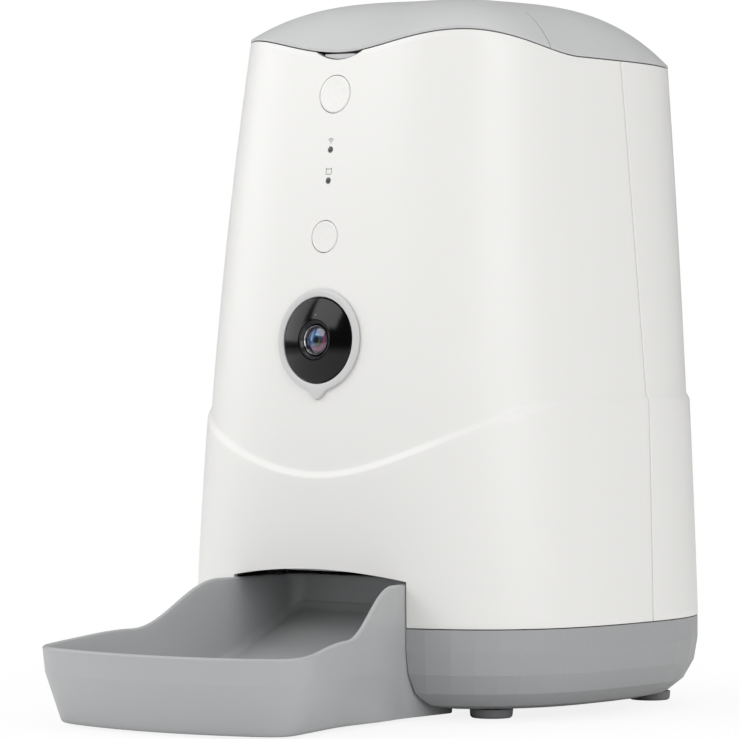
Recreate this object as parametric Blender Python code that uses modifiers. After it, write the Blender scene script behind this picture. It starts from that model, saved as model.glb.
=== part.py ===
"""Pet feeder with a camera: a white two-part housing with a raised wave, a grey lid and base, a food tray
that slides out at the front, and the hopper, portion wheel, gears and electronics that stand inside.
Metres, +Z up, the front faces -Y. The origin is under the middle of the feeder's outline, on the floor."""

import math

import bmesh
import bpy
import numpy as np
from mathutils import Matrix, Vector

# Gaps and walls shared by the pieces
GAP = 0.0003
SEAM_GAP = 0.0004
SHELL_WALL = 0.0024
OVERRUN = 0.004
MERGE = 0.00001
SHARP_DEGREES = 32

# Housing outline: its size low down, and how far it leans in at the middle and the top, joined by parabolas
LEVEL_LOW = 0.04725
LEVEL_MIDDLE = 0.1575
LEVEL_HIGH = 0.3045
LEVELS = (LEVEL_LOW, LEVEL_MIDDLE, LEVEL_HIGH)
HALF_WIDTH = 0.1002
HALF_WIDTH_LEAN_MIDDLE = 0.0097
HALF_WIDTH_LEAN_HIGH = 0.0237
HALF_WIDTHS = (HALF_WIDTH, HALF_WIDTH - HALF_WIDTH_LEAN_MIDDLE, HALF_WIDTH - HALF_WIDTH_LEAN_HIGH)
FRONT_DEPTH = 0.0983
FRONT_LEAN_MIDDLE = 0.0021
FRONT_LEAN_HIGH = 0.0193
FRONT_DEPTHS = (FRONT_DEPTH, FRONT_DEPTH - FRONT_LEAN_MIDDLE, FRONT_DEPTH - FRONT_LEAN_HIGH)
REAR_DEPTH = 0.0916
REAR_SPREAD_MIDDLE = 0.0058
REAR_SPREAD_HIGH = 0.0066
REAR_DEPTHS = (REAR_DEPTH, REAR_DEPTH + REAR_SPREAD_MIDDLE, REAR_DEPTH + REAR_SPREAD_HIGH)
FRONT_CORNER_SHARE = 3.05
REAR_CORNER_SHARE = 2.48
SEAM_BEHIND_UPPER = 0.0116
SEAM_BEHIND_LOWER = 0.003

# Wave across the housing
WAVE_LOW = 0.1000
WAVE_HIGH = 0.1318
WAVE_STEP = 0.0013
WAVE_CHAMFER = 0.0036
WAVE_END_SHARE = 68 / 180
LOWER_SHARES = (0, 0.5, 1)
UPPER_SHARES = (0, 0.25, 0.5, 0.75, 1)

# Lid, and the top edge of the housing that it follows, measured down from the crown
LID_TOP = 0.3049
EDGE_FRONT_DROP = 0.0253
EDGE_FRONT = LID_TOP - EDGE_FRONT_DROP
EDGE_PEAK_DROP = 0.0168
EDGE_PEAK = LID_TOP - EDGE_PEAK_DROP
EDGE_SIDE_DROP = 0.0269
EDGE_SIDE = LID_TOP - EDGE_SIDE_DROP
EDGE_REAR_DROP = 0.0299
EDGE_REAR = LID_TOP - EDGE_REAR_DROP
EDGE_PEAK_SHARE = 38.5 / 180
EDGE_SIDE_SHARE = 78.5 / 180
LID_LIP = 0.0010
LID_WALL = 0.0022
LID_CENTRE_BEHIND = 0.003
LID_SHOULDER_SHARE = 3.45
LID_ROW_SHARES = (1, 0.97, 0.92, 0.84, 0.72, 0.56, 0.4, 0.22, 0)

# Base
FOOT_HEIGHT = 0.0042
BASE_TOP = 0.0386
BASE_ROUND_RISE = 0.025
BASE_ROUND_RUN = 0.020
BASE_ROW_SHARES = (0, 0.25, 0.5, 0.75, 1)
BASE_MIDDLE_SHARE = 0.5
BASE_WALL = 0.0024

# Arch that the tray slides through
ARCH_HALF_WIDTH = 0.0464
ARCH_SPRING = 0.0582
ARCH_RISE = 0.0040
ARCH_TOP = ARCH_SPRING + ARCH_RISE
ARCH_STEPS = 13
RECESS_CORNER = 0.0075
RECESS_BEHIND = 0.0096
RECESS_STEPS = 6

# Food tray, measured from the axis of the housing
TRAY_REACH = 0.2163
TRAY_FLOOR_GAP = 0.0012
TRAY_WALL = 0.0024
TRAY_FLOOR = 0.0028
TRAY_SIDE_GAP = 0.0007
TRAY_NECK = ARCH_HALF_WIDTH - TRAY_SIDE_GAP
TRAY_NECK_FRONT = 0.0985
TRAY_NECK_BACK = 0.0560
TRAY_FAN_SHARE = 0.255
TRAY_CORNER_X = 0.050
TRAY_CORNER_BACK = 0.181
TRAY_FRONT_BULGE = 0.0082
TRAY_CREASE = 0.022
TRAY_TAPER = 0.0081
TRAY_CREASE_INSET = 0.0012
TRAY_EDGE_SHARE = 0.3
TRAY_NECK_TAPER_SHARE = 0.15
TRAY_BACK_CORNER = 0.009
TRAY_NECK_CORNER = 0.0048
TRAY_MIDDLE_SHARE = 0.96
TRAY_RIM_FRONT = 0.0330
TRAY_RIM_MIDDLE = 0.0375
TRAY_RIM_DROP = 0.0010
TRAY_RIM_NECK = ARCH_SPRING - TRAY_RIM_DROP
TRAY_RIM_RISE_FRONT = 0.200
TRAY_RIM_RISE_MIDDLE = 0.150
TRAY_RIM_RISE_BACK = 0.106
TRAY_RAMP_START = 0.145
TRAY_RAMP_TOP = 0.043
TRAY_CURVE_STEPS = 7
TRAY_SIDE_STEPS = 8

# Tray guide
GUIDE_WALL = 0.0018
GUIDE_FRONT = 0.074
GUIDE_FLANGE = 0.0135
GUIDE_FLANGE_FRONT = 0.063
GUIDE_TOP = 0.044

# Buttons and lights in the front, each place measured down from the one above it
FEED_BUTTON_DROP = 0.0174
FEED_BUTTON_HEIGHT = EDGE_FRONT - FEED_BUTTON_DROP
FEED_BUTTON_RADIUS = 0.0080
SETTINGS_BUTTON_DROP = 0.0602
SETTINGS_BUTTON_HEIGHT = FEED_BUTTON_HEIGHT - SETTINGS_BUTTON_DROP
SETTINGS_BUTTON_RADIUS = 0.0067
BUTTON_FLANGE = 0.0010
BUTTON_STEM = 0.0022
LIGHT_SHARES = (0.39, 0.608)
LIGHT_HEIGHTS = [FEED_BUTTON_HEIGHT - SETTINGS_BUTTON_DROP * share for share in LIGHT_SHARES]
LIGHT_RADIUS = 0.0011
BOARD_DEPTH = 0.0105
BOARD_THICKNESS = 0.0016
BUTTON_BOARD_WIDTH = 0.022
BUTTON_BOARD_ENDS = 0.0158
BUTTON_BOARD_LENGTH = SETTINGS_BUTTON_DROP + BUTTON_BOARD_ENDS
SWITCH = (0.006, 0.006, 0.0030)
BOSS_RADIUS = 0.0022
BOSS_CLEARANCE = 0.0044

# Camera
CAMERA_DROP = 0.0437
CAMERA_HEIGHT = SETTINGS_BUTTON_HEIGHT - CAMERA_DROP
BEZEL_RADIUS = 0.0216
BEZEL_TIP = 0.0250
BEZEL_TIP_DEGREES = 16
BEZEL_TIP_POWER_SHARE = 1.0
BEZEL_STEPS = 52
BEZEL_PROUD = 0.0013
WINDOW_RADIUS = 0.0181
WINDOW_DEPTH = 0.0060
WINDOW_STEPS = 40
WINDOW_RIM = 0.0011
WINDOW_PROUD = 0.0037
WINDOW_ROW_SHARES = ((0.75, 0.556), (0.95, 0.124))
LENS_RING_RADIUS = 0.0083
LENS_RING_CHAMFER = 0.0004
LENS_RADIUS = 0.0064
LENS_CROWN = 0.0024
CAMERA_MODULE = (0.024, 0.024, 0.0095)
CAMERA_BOARD = (0.034, 0.034, 0.0016)


def parabola(height, sizes):
    """Size at a height, on the parabola through the sizes at the three levels."""
    low, middle, top = LEVELS
    share_low = (height - middle) * (height - top) / ((low - middle) * (low - top))
    share_middle = (height - low) * (height - top) / ((middle - low) * (middle - top))
    share_top = (height - low) * (height - middle) / ((top - low) * (top - middle))
    return share_low * sizes[0] + share_middle * sizes[1] + share_top * sizes[2]


# Deck under the lid, with the filling hole, and the hopper under it, measured in from the housing
DECK_DROP = 0.0311
DECK_TOP = LID_TOP - DECK_DROP
DECK_WALL = 0.0022
COLLAR_RISE = 0.0036
COLLAR_TOP = DECK_TOP + COLLAR_RISE
HOPPER_CENTRE_FRONT = 0.008
HOPPER_SIDE_ROOM = 0.0205
HOPPER_HALF_WIDTH = parabola(DECK_TOP, HALF_WIDTHS) - HOPPER_SIDE_ROOM
HOPPER_FRONT_ROOM = 0.0215
HOPPER_FRONT = parabola(DECK_TOP, FRONT_DEPTHS) - HOPPER_CENTRE_FRONT - HOPPER_FRONT_ROOM
HOPPER_REAR_ROOM = 0.0237
HOPPER_REAR = parabola(DECK_TOP, REAR_DEPTHS) + HOPPER_CENTRE_FRONT - HOPPER_REAR_ROOM
HOPPER_CORNER_SHARE = 4.0
HOPPER_WALL = 0.0020
HOPPER_FLANGE = 0.005
HOPPER_STEPS = 19
FILL_FRONT_LEDGE = 0.0015
FILL_FRONT = HOPPER_FRONT + HOPPER_CENTRE_FRONT - FILL_FRONT_LEDGE
FILL_REAR = 0.021
FILL_SIDE_LEDGE = 0.0030
FILL_HALF_WIDTH = HOPPER_HALF_WIDTH - FILL_SIDE_LEDGE
FILL_CORNER_SHARE = 4.5
FILL_STEPS = 17

# Battery box, its sliding door and its contacts
BATTERY_SIDE_ROOM = 0.0582
BATTERY_HALF_WIDTH = HALF_WIDTH - BATTERY_SIDE_ROOM
BATTERY_REAR_ROOM = 0.0316
BATTERY_REAR = REAR_DEPTH - BATTERY_REAR_ROOM
BATTERY_LENGTH = 0.056
BATTERY_TOP = 0.0430
BATTERY_WALL = 0.0018
DOOR_LIP = 0.003
DOOR_THICKNESS = 0.0020
DOOR_RAIL = 0.0018
DOOR_LEDGE = 0.0006
DOOR_GRIPS = 4
DOOR_GRIP_PITCH = 0.003
DOOR_GRIP = 0.0008
DOOR_GRIP_DEPTH = 0.0006
DOOR_GRIP_SHARE = 1 / 3
CONTACT_THICKNESS = 0.0006
CONTACT_WIDTH_SHARE = 0.8

# Plate, the cup on it and the portion wheel that turns in the cup
PLATE_RISE = 0.0514
PLATE_TOP = BATTERY_TOP + PLATE_RISE
PLATE_THICKNESS = 0.0024
CUP_RADIUS = 0.0504
CUP_WALL = 0.0020
CUP_RISE = 0.0236
CUP_TOP = PLATE_TOP + CUP_RISE
THROAT_RADIUS = 0.0478
THROAT_GAP = 0.0010
THROAT_BOTTOM = CUP_TOP + THROAT_GAP
THROAT_LENGTH = 0.0150
THROAT_TOP = THROAT_BOTTOM + THROAT_LENGTH
SHOULDER_RISE = 0.0340
HOPPER_SHOULDER = THROAT_TOP + SHOULDER_RISE
WHEEL_RADIUS = 0.0485
WHEEL_HEIGHT = 0.0185
WHEEL_STEPS = 24
HUB_RADIUS = 0.0130
HUB_TOP_SHARE = 0.4
HUB_SHOULDER_SHARE = 0.5
HUB_BORE_SHARE = 0.75
WHEEL_BLADES = 6
BLADE_THICKNESS = 0.0024
BLADE_ROOT_SHARE = 0.75
BLADE_HEIGHT_SHARE = 0.93
STIRRER_RISE = 0.030
STIRRER_SINK = 0.0031
STIRRER_RADIUS = 0.0022
BAFFLE_THICKNESS = 0.0018
BAFFLE_SPREAD_SHARE = 50 / 180
OUTLET_HALF_WIDTH = 0.0140
OUTLET_INNER = 0.0200
OUTLET_OUTER = 0.0430
SHAFT_RADIUS = 0.0030

# Gears under the plate
GEAR_MODULE = 0.0010
GEAR_TEETH = 33
PINION_TEETH = 11
TOOTH_TIP_SHARE = 0.85
TOOTH_ROOT_SHARE = 1.15
TOOTH_TIP_HALF_SHARE = 0.11
TOOTH_ROOT_HALF_SHARE = 0.30
GEAR_THICKNESS = 0.0060
GEAR_HOLES = 3
GEAR_PLATE_THICKNESS = 0.0018
GEAR_PLATE_DROP = 0.0096
GEAR_PLATE_HALF_WIDTH = 0.0240
GEAR_PLATE_MARGIN = 0.0060
GEAR_POST_RADIUS = 0.0026
MOTOR_RADIUS = 0.0120
MOTOR_LENGTH = 0.0280
MOTOR_NOSE = 0.0048
MOTOR_BORE_DEPTH = 0.0072
MOTOR_EDGE = 0.0010

# Chute from the cup to the tray
CHUTE_WALL = 0.0018
CHUTE_NECK = 0.0036
CHUTE_END_HALF_WIDTH = 0.0240
CHUTE_END_FRONT = 0.0870
CHUTE_END_BACK = 0.0630
CHUTE_END_RISE = 0.0053
CHUTE_END_HEIGHT = TRAY_RIM_NECK + CHUTE_END_RISE

# Posts from the base to the plate
POST_RADIUS = 0.0045
POST_STEPS = 10
POST_SIDE_INSET = 0.0292
POST_X = HALF_WIDTH - POST_SIDE_INSET
POST_FRONT = TRAY_NECK_BACK - GUIDE_FLANGE - POST_RADIUS - SEAM_GAP
POST_REAR_INSET = 0.0456
POST_REAR = REAR_DEPTH - POST_REAR_INSET
SCREW_RADIUS = 0.0015
SCREW_HEAD_RADIUS = 0.0030
SCREW_TOP_SHARE = 0.7
SCREW_HEAD = 0.0018
SCREW_LENGTH = 0.010

# Feet
FOOT_RADIUS = 0.0092
FOOT_EDGE = 0.0008
FOOT_SIDE_INSET = 0.0395
FOOT_X = HALF_WIDTH - FOOT_SIDE_INSET
FOOT_FRONT_INSET = 0.0418
FOOT_FRONT = FRONT_DEPTH - FOOT_FRONT_INSET
FOOT_REAR_INSET = 0.0316
FOOT_REAR = REAR_DEPTH - FOOT_REAR_INSET

# Electronics at the rear
MAIN_BOARD = (0.068, 0.052)
MAIN_BOARD_HEIGHT = 0.150
MAIN_BOARD_ROOM = 0.0152
MAIN_BOARD_BEHIND = parabola(MAIN_BOARD_HEIGHT, REAR_DEPTHS) - MAIN_BOARD_ROOM
SOCKET_HEIGHT = 0.058
SOCKET_BODY = (0.011, 0.012, 0.011)
SOCKET_NOSE = 0.0046
SOCKET_BORE = 0.0029
SOCKET_PIN = 0.0010
SOCKET_PIN_SHARE = 0.15
SOCKET_BORE_SHARE = 0.6
SPEAKER_HEIGHT = 0.216
SPEAKER_RADIUS = 0.018
SPEAKER_DEPTH = 0.011
SPEAKER_RIM = 0.0022
SPEAKER_CAP_SHARE = 0.3
SPEAKER_CONE_SHARE = 0.8
SPEAKER_EDGE_SHARE = 0.86
SPEAKER_BASKET_SHARES = (0.7, 0.6)
SPEAKER_MAGNET_SHARE = 0.55
GRILLE_SLOTS = 7
GRILLE_SLOT = 0.0016
GRILLE_PITCH = 0.0034
GRILLE_LENGTH = 0.024

# Parting of the lid: the front flap turns on a pin just under the crown, and the cap behind it is fixed
PARTING_FRONT = 0.012
PARTING_SWEEP = 0.042
PARTING_GAP = 0.0006
KNUCKLE_RADIUS = 0.0020
KNUCKLE_DROP = 0.0033
KNUCKLE_HALF = 0.0125
KNUCKLE_END = 0.0310
KNUCKLE_CLEARANCE = 0.0006
KNUCKLE_SWEEP = 0.0036
PIN_RADIUS = 0.0009
KNUCKLE_ARM_SHARE = 0.85

# Parts under the lid
SEAL_ROOM = 0.0041
LINER_BOTTOM = COLLAR_TOP + SEAL_ROOM
LINER_THICKNESS = 0.0018
LINER_MARGIN = 0.004
LINER_POST_RADIUS = 0.0030
LINER_POST_SHARE = 1.3
LINER_POST_X = 0.040
LINER_POST_FRONT = 0.054
LINER_POST_REAR = 0.024
SEAL_WIDTH = 0.0030
DESICCANT_HALF_WIDTH = 0.030
DESICCANT_LENGTH = 0.022
DESICCANT_DROP = 0.011
DESICCANT_WALL = 0.0014
DESICCANT_FRONT = 0.050
COVER_SLOTS = 6
COVER_SLOT = 0.0017
COVER_SLOT_MARGIN = 0.0068
COVER_PITCH_SHARE = 0.3

# Latch at the front of the lid
SCOOP_HALF_WIDTH = 0.0112
SCOOP_DEPTH = 0.0028
LATCH_HALF_WIDTH = 0.0080
LATCH_DEPTH = 0.0115
LATCH_BODY = 0.0030
LATCH_RISE = 0.0046
LATCH_RECESS = 0.0006
TONGUE_HALF_WIDTH = 0.0040
SPRING_RADIUS = 0.0017
SPRING_WIRE = 0.0003
SPRING_TURNS = 4
SPRING_TURN_STEPS = 9
SPRING_LENGTH = 0.0042
SCOOP_STEPS = 11

# How finely the round shapes are divided
FRONT_COLUMNS = 13
REAR_COLUMNS = 10
ROUND_STEPS = 28
SMALL_STEPS = 16
MEDIUM_STEPS = 20

OBJECT_NAME = "pet_feeder"

# The housing's axis lies behind the origin, because the tray reaches further out than the housing's rear
REAR_REACH = float(parabola(EDGE_REAR, REAR_DEPTHS))
AXIS_Y = (TRAY_REACH - REAR_REACH) / 2


def wall(turn, height, out=0.0):
    """Points on the housing's outline from above: turn is 0 at the front, 1 at the side and 2 at the rear."""
    turn = np.asarray(turn, float)
    half_width = parabola(height, HALF_WIDTHS) + out
    front = parabola(height, FRONT_DEPTHS) + out
    rear = parabola(height, REAR_DEPTHS) + out
    angle = np.where(turn <= 1, turn, turn - 1) * math.pi / 2
    sine = np.abs(np.sin(angle))
    cosine = np.abs(np.cos(angle))
    ahead = turn <= 1
    x = half_width * np.where(ahead, sine ** (2 / FRONT_CORNER_SHARE), cosine ** (2 / REAR_CORNER_SHARE))
    y = np.where(ahead, -front * cosine ** (2 / FRONT_CORNER_SHARE), rear * sine ** (2 / REAR_CORNER_SHARE))
    x = np.where((turn <= 0) | (turn >= 2), 0.0, x)
    return x, y + AXIS_Y


def heading(turn):
    """Direction of an outline point from the axis, as a share of a half turn: 0 in front, 1 at the rear."""
    x, y = wall(turn, WAVE_HIGH)
    return np.arctan2(x, -(y - AXIS_Y)) / math.pi


def ease(share):
    """Smooth rise from 0 to 1."""
    share = np.clip(share, 0, 1)
    return (1 - np.cos(math.pi * share)) / 2


def wave(turn):
    return WAVE_LOW + (WAVE_HIGH - WAVE_LOW) * ease(heading(turn) / WAVE_END_SHARE)


def top_edge(turn):
    """Height of the housing's top edge: low in front, a peak at each corner, lower again at the side."""
    share = heading(turn)
    rising = EDGE_FRONT + (EDGE_PEAK - EDGE_FRONT) * ease(share / EDGE_PEAK_SHARE)
    past = (share - EDGE_PEAK_SHARE) / (EDGE_SIDE_SHARE - EDGE_PEAK_SHARE)
    falling = EDGE_PEAK - (EDGE_PEAK - EDGE_SIDE) * ease(past)
    behind = EDGE_SIDE - (EDGE_SIDE - EDGE_REAR) * (share - EDGE_SIDE_SHARE) / (1 - EDGE_SIDE_SHARE)
    return np.where(share < EDGE_PEAK_SHARE, rising, np.where(share < EDGE_SIDE_SHARE, falling, behind))


def seam_turn(height, shift, out=0.0):
    """Turn at which the outline crosses the seam between the two shells."""
    share = np.clip((height - BASE_TOP) / (WAVE_HIGH - BASE_TOP), 0, 1)
    behind = SEAM_BEHIND_LOWER + (SEAM_BEHIND_UPPER - SEAM_BEHIND_LOWER) * share + shift
    rear = parabola(height, REAR_DEPTHS) + out
    return 1 + np.arcsin((behind / rear) ** (REAR_CORNER_SHARE / 2)) * 2 / math.pi


def front_face(height):
    """Y of the housing's front on the centre line."""
    return AXIS_Y - float(parabola(height, FRONT_DEPTHS))


def rear_face(height):
    return AXIS_Y + float(parabola(height, REAR_DEPTHS))


def front_tilt(height):
    """Angle by which the front face leans back at a height."""
    step = WAVE_STEP
    return math.atan((front_face(height + step) - front_face(height - step)) / (2 * step))


def lid_height(x, y):
    """Height of the lid's outer surface above a point."""
    turns = np.linspace(0, 2, 81)
    edge_x, edge_y = wall(turns, top_edge(turns))
    centre = AXIS_Y + LID_CENTRE_BEHIND
    angles = np.arctan2(edge_x, -(edge_y - centre))
    angle = math.atan2(abs(x), -(y - centre))
    reach = np.interp(angle, angles, np.hypot(edge_x, edge_y - centre))
    edge = float(np.interp(angle, angles, top_edge(turns)))
    share = min(math.hypot(x, y - centre) / reach, 1.0)
    start = edge + SEAM_GAP + LID_LIP
    return start + (LID_TOP - start) * (1 - share ** LID_SHOULDER_SHARE)


def start_scene():
    for obj in list(bpy.data.objects):
        bpy.data.objects.remove(obj, do_unlink=True)
    made = []
    for name in (OBJECT_NAME, "cutters"):
        group = bpy.data.collections.new(name)
        bpy.context.scene.collection.children.link(group)
        made.append(group)
    return made


PARTS, CUTTERS = start_scene()


def material(name, colour, roughness, metallic=0.0):
    made = bpy.data.materials.new(name)
    made.use_nodes = True
    shader = made.node_tree.nodes["Principled BSDF"]
    shader.inputs["Base Color"].default_value = (*colour, 1)
    shader.inputs["Roughness"].default_value = roughness
    shader.inputs["Metallic"].default_value = metallic
    made.diffuse_color = (*colour, 1)
    return made


WHITE = material("white_plastic", (0.86, 0.86, 0.85), 0.38)
LID_GREY = material("lid_grey_plastic", (0.58, 0.59, 0.61), 0.42)
BASE_GREY = material("base_grey_plastic", (0.38, 0.39, 0.40), 0.45)
TRAY_GREY = material("tray_grey_plastic", (0.38, 0.39, 0.41), 0.42)
BEZEL_GREY = material("bezel_grey_plastic", (0.68, 0.69, 0.71), 0.30)
DARK = material("dark_plastic", (0.02, 0.02, 0.022), 0.5)
GLOSS_BLACK = material("gloss_black", (0.003, 0.003, 0.004), 0.06)
GLASS = material("lens_glass", (0.01, 0.015, 0.03), 0.03)
CLEAR_GREY = material("hopper_plastic", (0.55, 0.56, 0.57), 0.3)
RUBBER = material("rubber", (0.30, 0.30, 0.31), 0.8)
SILICONE = material("silicone", (0.75, 0.75, 0.74), 0.6)
ACETAL = material("gear_plastic", (0.80, 0.79, 0.74), 0.4)
STEEL = material("steel", (0.60, 0.60, 0.61), 0.3, 1.0)
BOARD_GREEN = material("circuit_board", (0.03, 0.16, 0.07), 0.5)
LIGHT_PIPE = material("light_pipe", (0.25, 0.26, 0.27), 0.25)


def add_object(name, mesh, finish, place=(0, 0, 0), group=None):
    obj = bpy.data.objects.new(name, mesh)
    obj.location = place
    (group or PARTS).objects.link(obj)
    if finish:
        mesh.materials.append(finish)
        mesh.shade_smooth()
        mesh.set_sharp_from_angle(angle=math.radians(SHARP_DEGREES))
    return obj


def hide(obj):
    """Turns an object into a cutter."""
    obj.hide_render = True
    obj.display_type = "WIRE"
    for group in list(obj.users_collection):
        group.objects.unlink(obj)
    CUTTERS.objects.link(obj)
    return obj


def origin_at(obj, place):
    """Moves the object's origin to a point and leaves its shape where it is."""
    before = obj.matrix_basis.copy()
    obj.matrix_basis = Matrix.Translation(place)
    obj.data.transform(obj.matrix_basis.inverted() @ before)
    return obj


def follow(child, parent):
    """Parents an object and leaves it where it is."""
    child.parent = parent
    child.matrix_parent_inverse = parent.matrix_basis.inverted()


def axis_empty(name, place, *pieces):
    """Empty on a joint's axis that the pieces of one moving body hang from."""
    empty = bpy.data.objects.new(name, None)
    PARTS.objects.link(empty)
    empty.location = place
    empty.empty_display_size = OVERRUN
    for piece in pieces:
        follow(piece, empty)


def loft(name, rows, finish, closed=False):
    """Surface through rows of points. Rows run across it, and closed joins the last column to the first."""
    rows = np.asarray(rows, float)
    count, across = rows.shape[:2]
    columns = across if closed else across - 1
    faces = []
    for row in range(count - 1):
        for column in range(columns):
            following = (column + 1) % across
            below = row * across
            above = below + across
            faces.append((below + column, below + following, above + following, above + column))
    mesh = bpy.data.meshes.new(name)
    mesh.from_pydata([tuple(point) for point in rows.reshape(-1, 3)], [], faces)
    shape = bmesh.new()
    shape.from_mesh(mesh)
    bmesh.ops.remove_doubles(shape, verts=shape.verts, dist=MERGE)
    shape.to_mesh(mesh)
    shape.free()
    return add_object(name, mesh, finish)


def mirror(obj):
    modifier = obj.modifiers.new("mirror", "MIRROR")
    modifier.use_axis = (True, False, False)
    modifier.merge_threshold = MERGE
    return obj


def thicken(obj, thickness):
    """Gives an open surface a wall on its inner side."""
    modifier = obj.modifiers.new("wall", "SOLIDIFY")
    modifier.thickness = thickness
    modifier.offset = -1
    modifier.use_even_offset = True
    return obj


def change(obj, tool, operation):
    """Cuts with another object, or adds it. That object then moves with this one."""
    modifier = obj.modifiers.new(operation.lower(), "BOOLEAN")
    modifier.operation = operation
    modifier.object = hide(tool)
    modifier.solver = "EXACT"
    follow(tool, obj)
    return obj


def cut(obj, *tools):
    for tool in tools:
        change(obj, tool, "DIFFERENCE")
    return obj


def join(obj, *tools):
    for tool in tools:
        change(obj, tool, "UNION")
    return obj


def block(name, low, high, finish=None, bevel=0.0):
    """Box between two corners."""
    low = Vector(low)
    high = Vector(high)
    shape = bmesh.new()
    bmesh.ops.create_cube(shape, size=1)
    bmesh.ops.transform(shape, matrix=Matrix.Diagonal((*(high - low), 1)), verts=shape.verts)
    mesh = bpy.data.meshes.new(name)
    shape.to_mesh(mesh)
    shape.free()
    obj = add_object(name, mesh, finish, (low + high) / 2)
    if bevel:
        modifier = obj.modifiers.new("edges", "BEVEL")
        modifier.width = bevel
        modifier.segments = 2
        modifier.limit_method = "ANGLE"
    return obj


def bar(name, radius, start, end, finish=None, steps=SMALL_STEPS):
    """Round bar between two points."""
    start = Vector(start)
    end = Vector(end)
    along = end - start
    shape = bmesh.new()
    depth = along.length
    bmesh.ops.create_cone(shape, cap_ends=True, segments=steps, radius1=radius, radius2=radius, depth=depth)
    turn = along.to_track_quat("Z", "Y").to_matrix().to_4x4()
    bmesh.ops.transform(shape, matrix=turn, verts=shape.verts)
    mesh = bpy.data.meshes.new(name)
    shape.to_mesh(mesh)
    shape.free()
    return add_object(name, mesh, finish, (start + end) / 2)


def turned(name, profile, finish, place, tilt=0.0, steps=ROUND_STEPS, ring=False):
    """Profile of (radius, height) points, from the top down its outer side, turned about the object's Z."""
    shape = bmesh.new()
    points = [shape.verts.new((radius, 0, height)) for radius, height in profile]
    for first, second in zip(points, points[1:]):
        shape.edges.new((first, second))
    if ring:
        shape.edges.new((points[-1], points[0]))
    mesh = bpy.data.meshes.new(name)
    shape.to_mesh(mesh)
    shape.free()
    obj = add_object(name, mesh, finish, place)
    obj.rotation_euler = (tilt, 0, 0)
    modifier = obj.modifiers.new("turn", "SCREW")
    modifier.steps = steps
    modifier.render_steps = steps
    modifier.use_merge_vertices = True
    modifier.merge_threshold = MERGE
    modifier.use_smooth_shade = True
    return obj


def plate(name, outlines, bottom, top, finish=None):
    """Flat piece between two heights: the first outline is its edge and the others are holes."""
    curve = bpy.data.curves.new(name, "CURVE")
    curve.dimensions = "2D"
    curve.fill_mode = "BOTH"
    curve.extrude = (top - bottom) / 2
    for outline in outlines:
        spline = curve.splines.new("POLY")
        spline.points.add(len(outline) - 1)
        for point, (x, y) in zip(spline.points, outline):
            point.co = (x, y, 0, 1)
        spline.use_cyclic_u = True
    obj = bpy.data.objects.new(name, curve)
    PARTS.objects.link(obj)
    return as_mesh(obj, finish, (0, 0, (top + bottom) / 2))


def as_mesh(obj, finish, place):
    """Makes a curve object a mesh object with its caps welded."""
    graph = bpy.context.evaluated_depsgraph_get()
    mesh = bpy.data.meshes.new_from_object(obj.evaluated_get(graph))
    mesh.materials.clear()
    shape = bmesh.new()
    shape.from_mesh(mesh)
    bmesh.ops.remove_doubles(shape, verts=shape.verts, dist=MERGE)
    bmesh.ops.recalc_face_normals(shape, faces=shape.faces)
    shape.to_mesh(mesh)
    shape.free()
    name = obj.name
    matrix = obj.matrix_world.copy()
    bpy.data.objects.remove(obj)
    made = add_object(name, mesh, finish)
    made.matrix_world = Matrix.Translation(place) @ matrix
    return made


def circle(radius, centre=(0, 0), steps=SMALL_STEPS):
    angles = np.arange(steps) * 2 * math.pi / steps
    return [(centre[0] + radius * math.cos(a), centre[1] + radius * math.sin(a)) for a in angles]


def rectangle(low, high):
    return [(low[0], low[1]), (high[0], low[1]), (high[0], high[1]), (low[0], high[1])]


def around(half):
    """Whole outline from its right half, which runs from front to rear on the centre line."""
    half = [tuple(point) for point in half]
    return half + [(-x, y) for x, y in reversed(half[1:-1])]


# Housing
def shell_rows(turns_at, heights_and_outs):
    """Rows of points on the housing's outline. A row's height may differ from column to column."""
    rows = []
    for height, out in heights_and_outs:
        turns = turns_at(height, out)
        x, y = wall(turns, height, out)
        rows.append(np.stack([x, y, height * np.ones_like(x)], axis=-1))
    return rows


def shell_heights(turns):
    """Heights of the shell's rows and how far each stands out: full up to the wave, stepped in above it."""
    foot = BASE_TOP + SEAM_GAP
    crest = wave(turns)
    band = crest + WAVE_CHAMFER
    edge = top_edge(turns)
    rows = [(foot + (crest - foot) * share, WAVE_STEP) for share in LOWER_SHARES]
    rows += [(band + (edge - band) * share, 0.0) for share in UPPER_SHARES]
    return rows


def front_shell():
    nominal = np.append(np.linspace(0, 1, FRONT_COLUMNS), seam_turn(WAVE_HIGH, 0))

    def turns(height, out):
        height = np.asarray(height) * np.ones_like(nominal)
        return np.where(nominal > 1, seam_turn(height, -SEAM_GAP / 2, out), nominal)

    obj = loft("front_shell", shell_rows(turns, shell_heights(nominal)), WHITE)
    thicken(mirror(obj), SHELL_WALL)
    cut(obj, arch_cutter(), scoop_cutter())
    tilt = front_tilt(CAMERA_HEIGHT)
    cut(obj, wall_hole("camera_hole", WINDOW_RADIUS + GAP, CAMERA_HEIGHT, tilt, ROUND_STEPS))
    holes = (
        ("feed_button_hole", FEED_BUTTON_RADIUS + GAP, FEED_BUTTON_HEIGHT, ROUND_STEPS),
        ("settings_button_hole", SETTINGS_BUTTON_RADIUS + GAP, SETTINGS_BUTTON_HEIGHT, ROUND_STEPS),
        ("upper_light_hole", LIGHT_RADIUS + GAP, LIGHT_HEIGHTS[0], SMALL_STEPS // 2),
        ("lower_light_hole", LIGHT_RADIUS + GAP, LIGHT_HEIGHTS[1], SMALL_STEPS // 2),
    )
    for name, radius, height, steps in holes:
        cut(obj, wall_hole(name, radius, height, front_tilt(height), steps))
    for number, (x, height) in enumerate(board_bosses()):
        join(obj, board_boss(number, x, height))
    return obj


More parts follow.
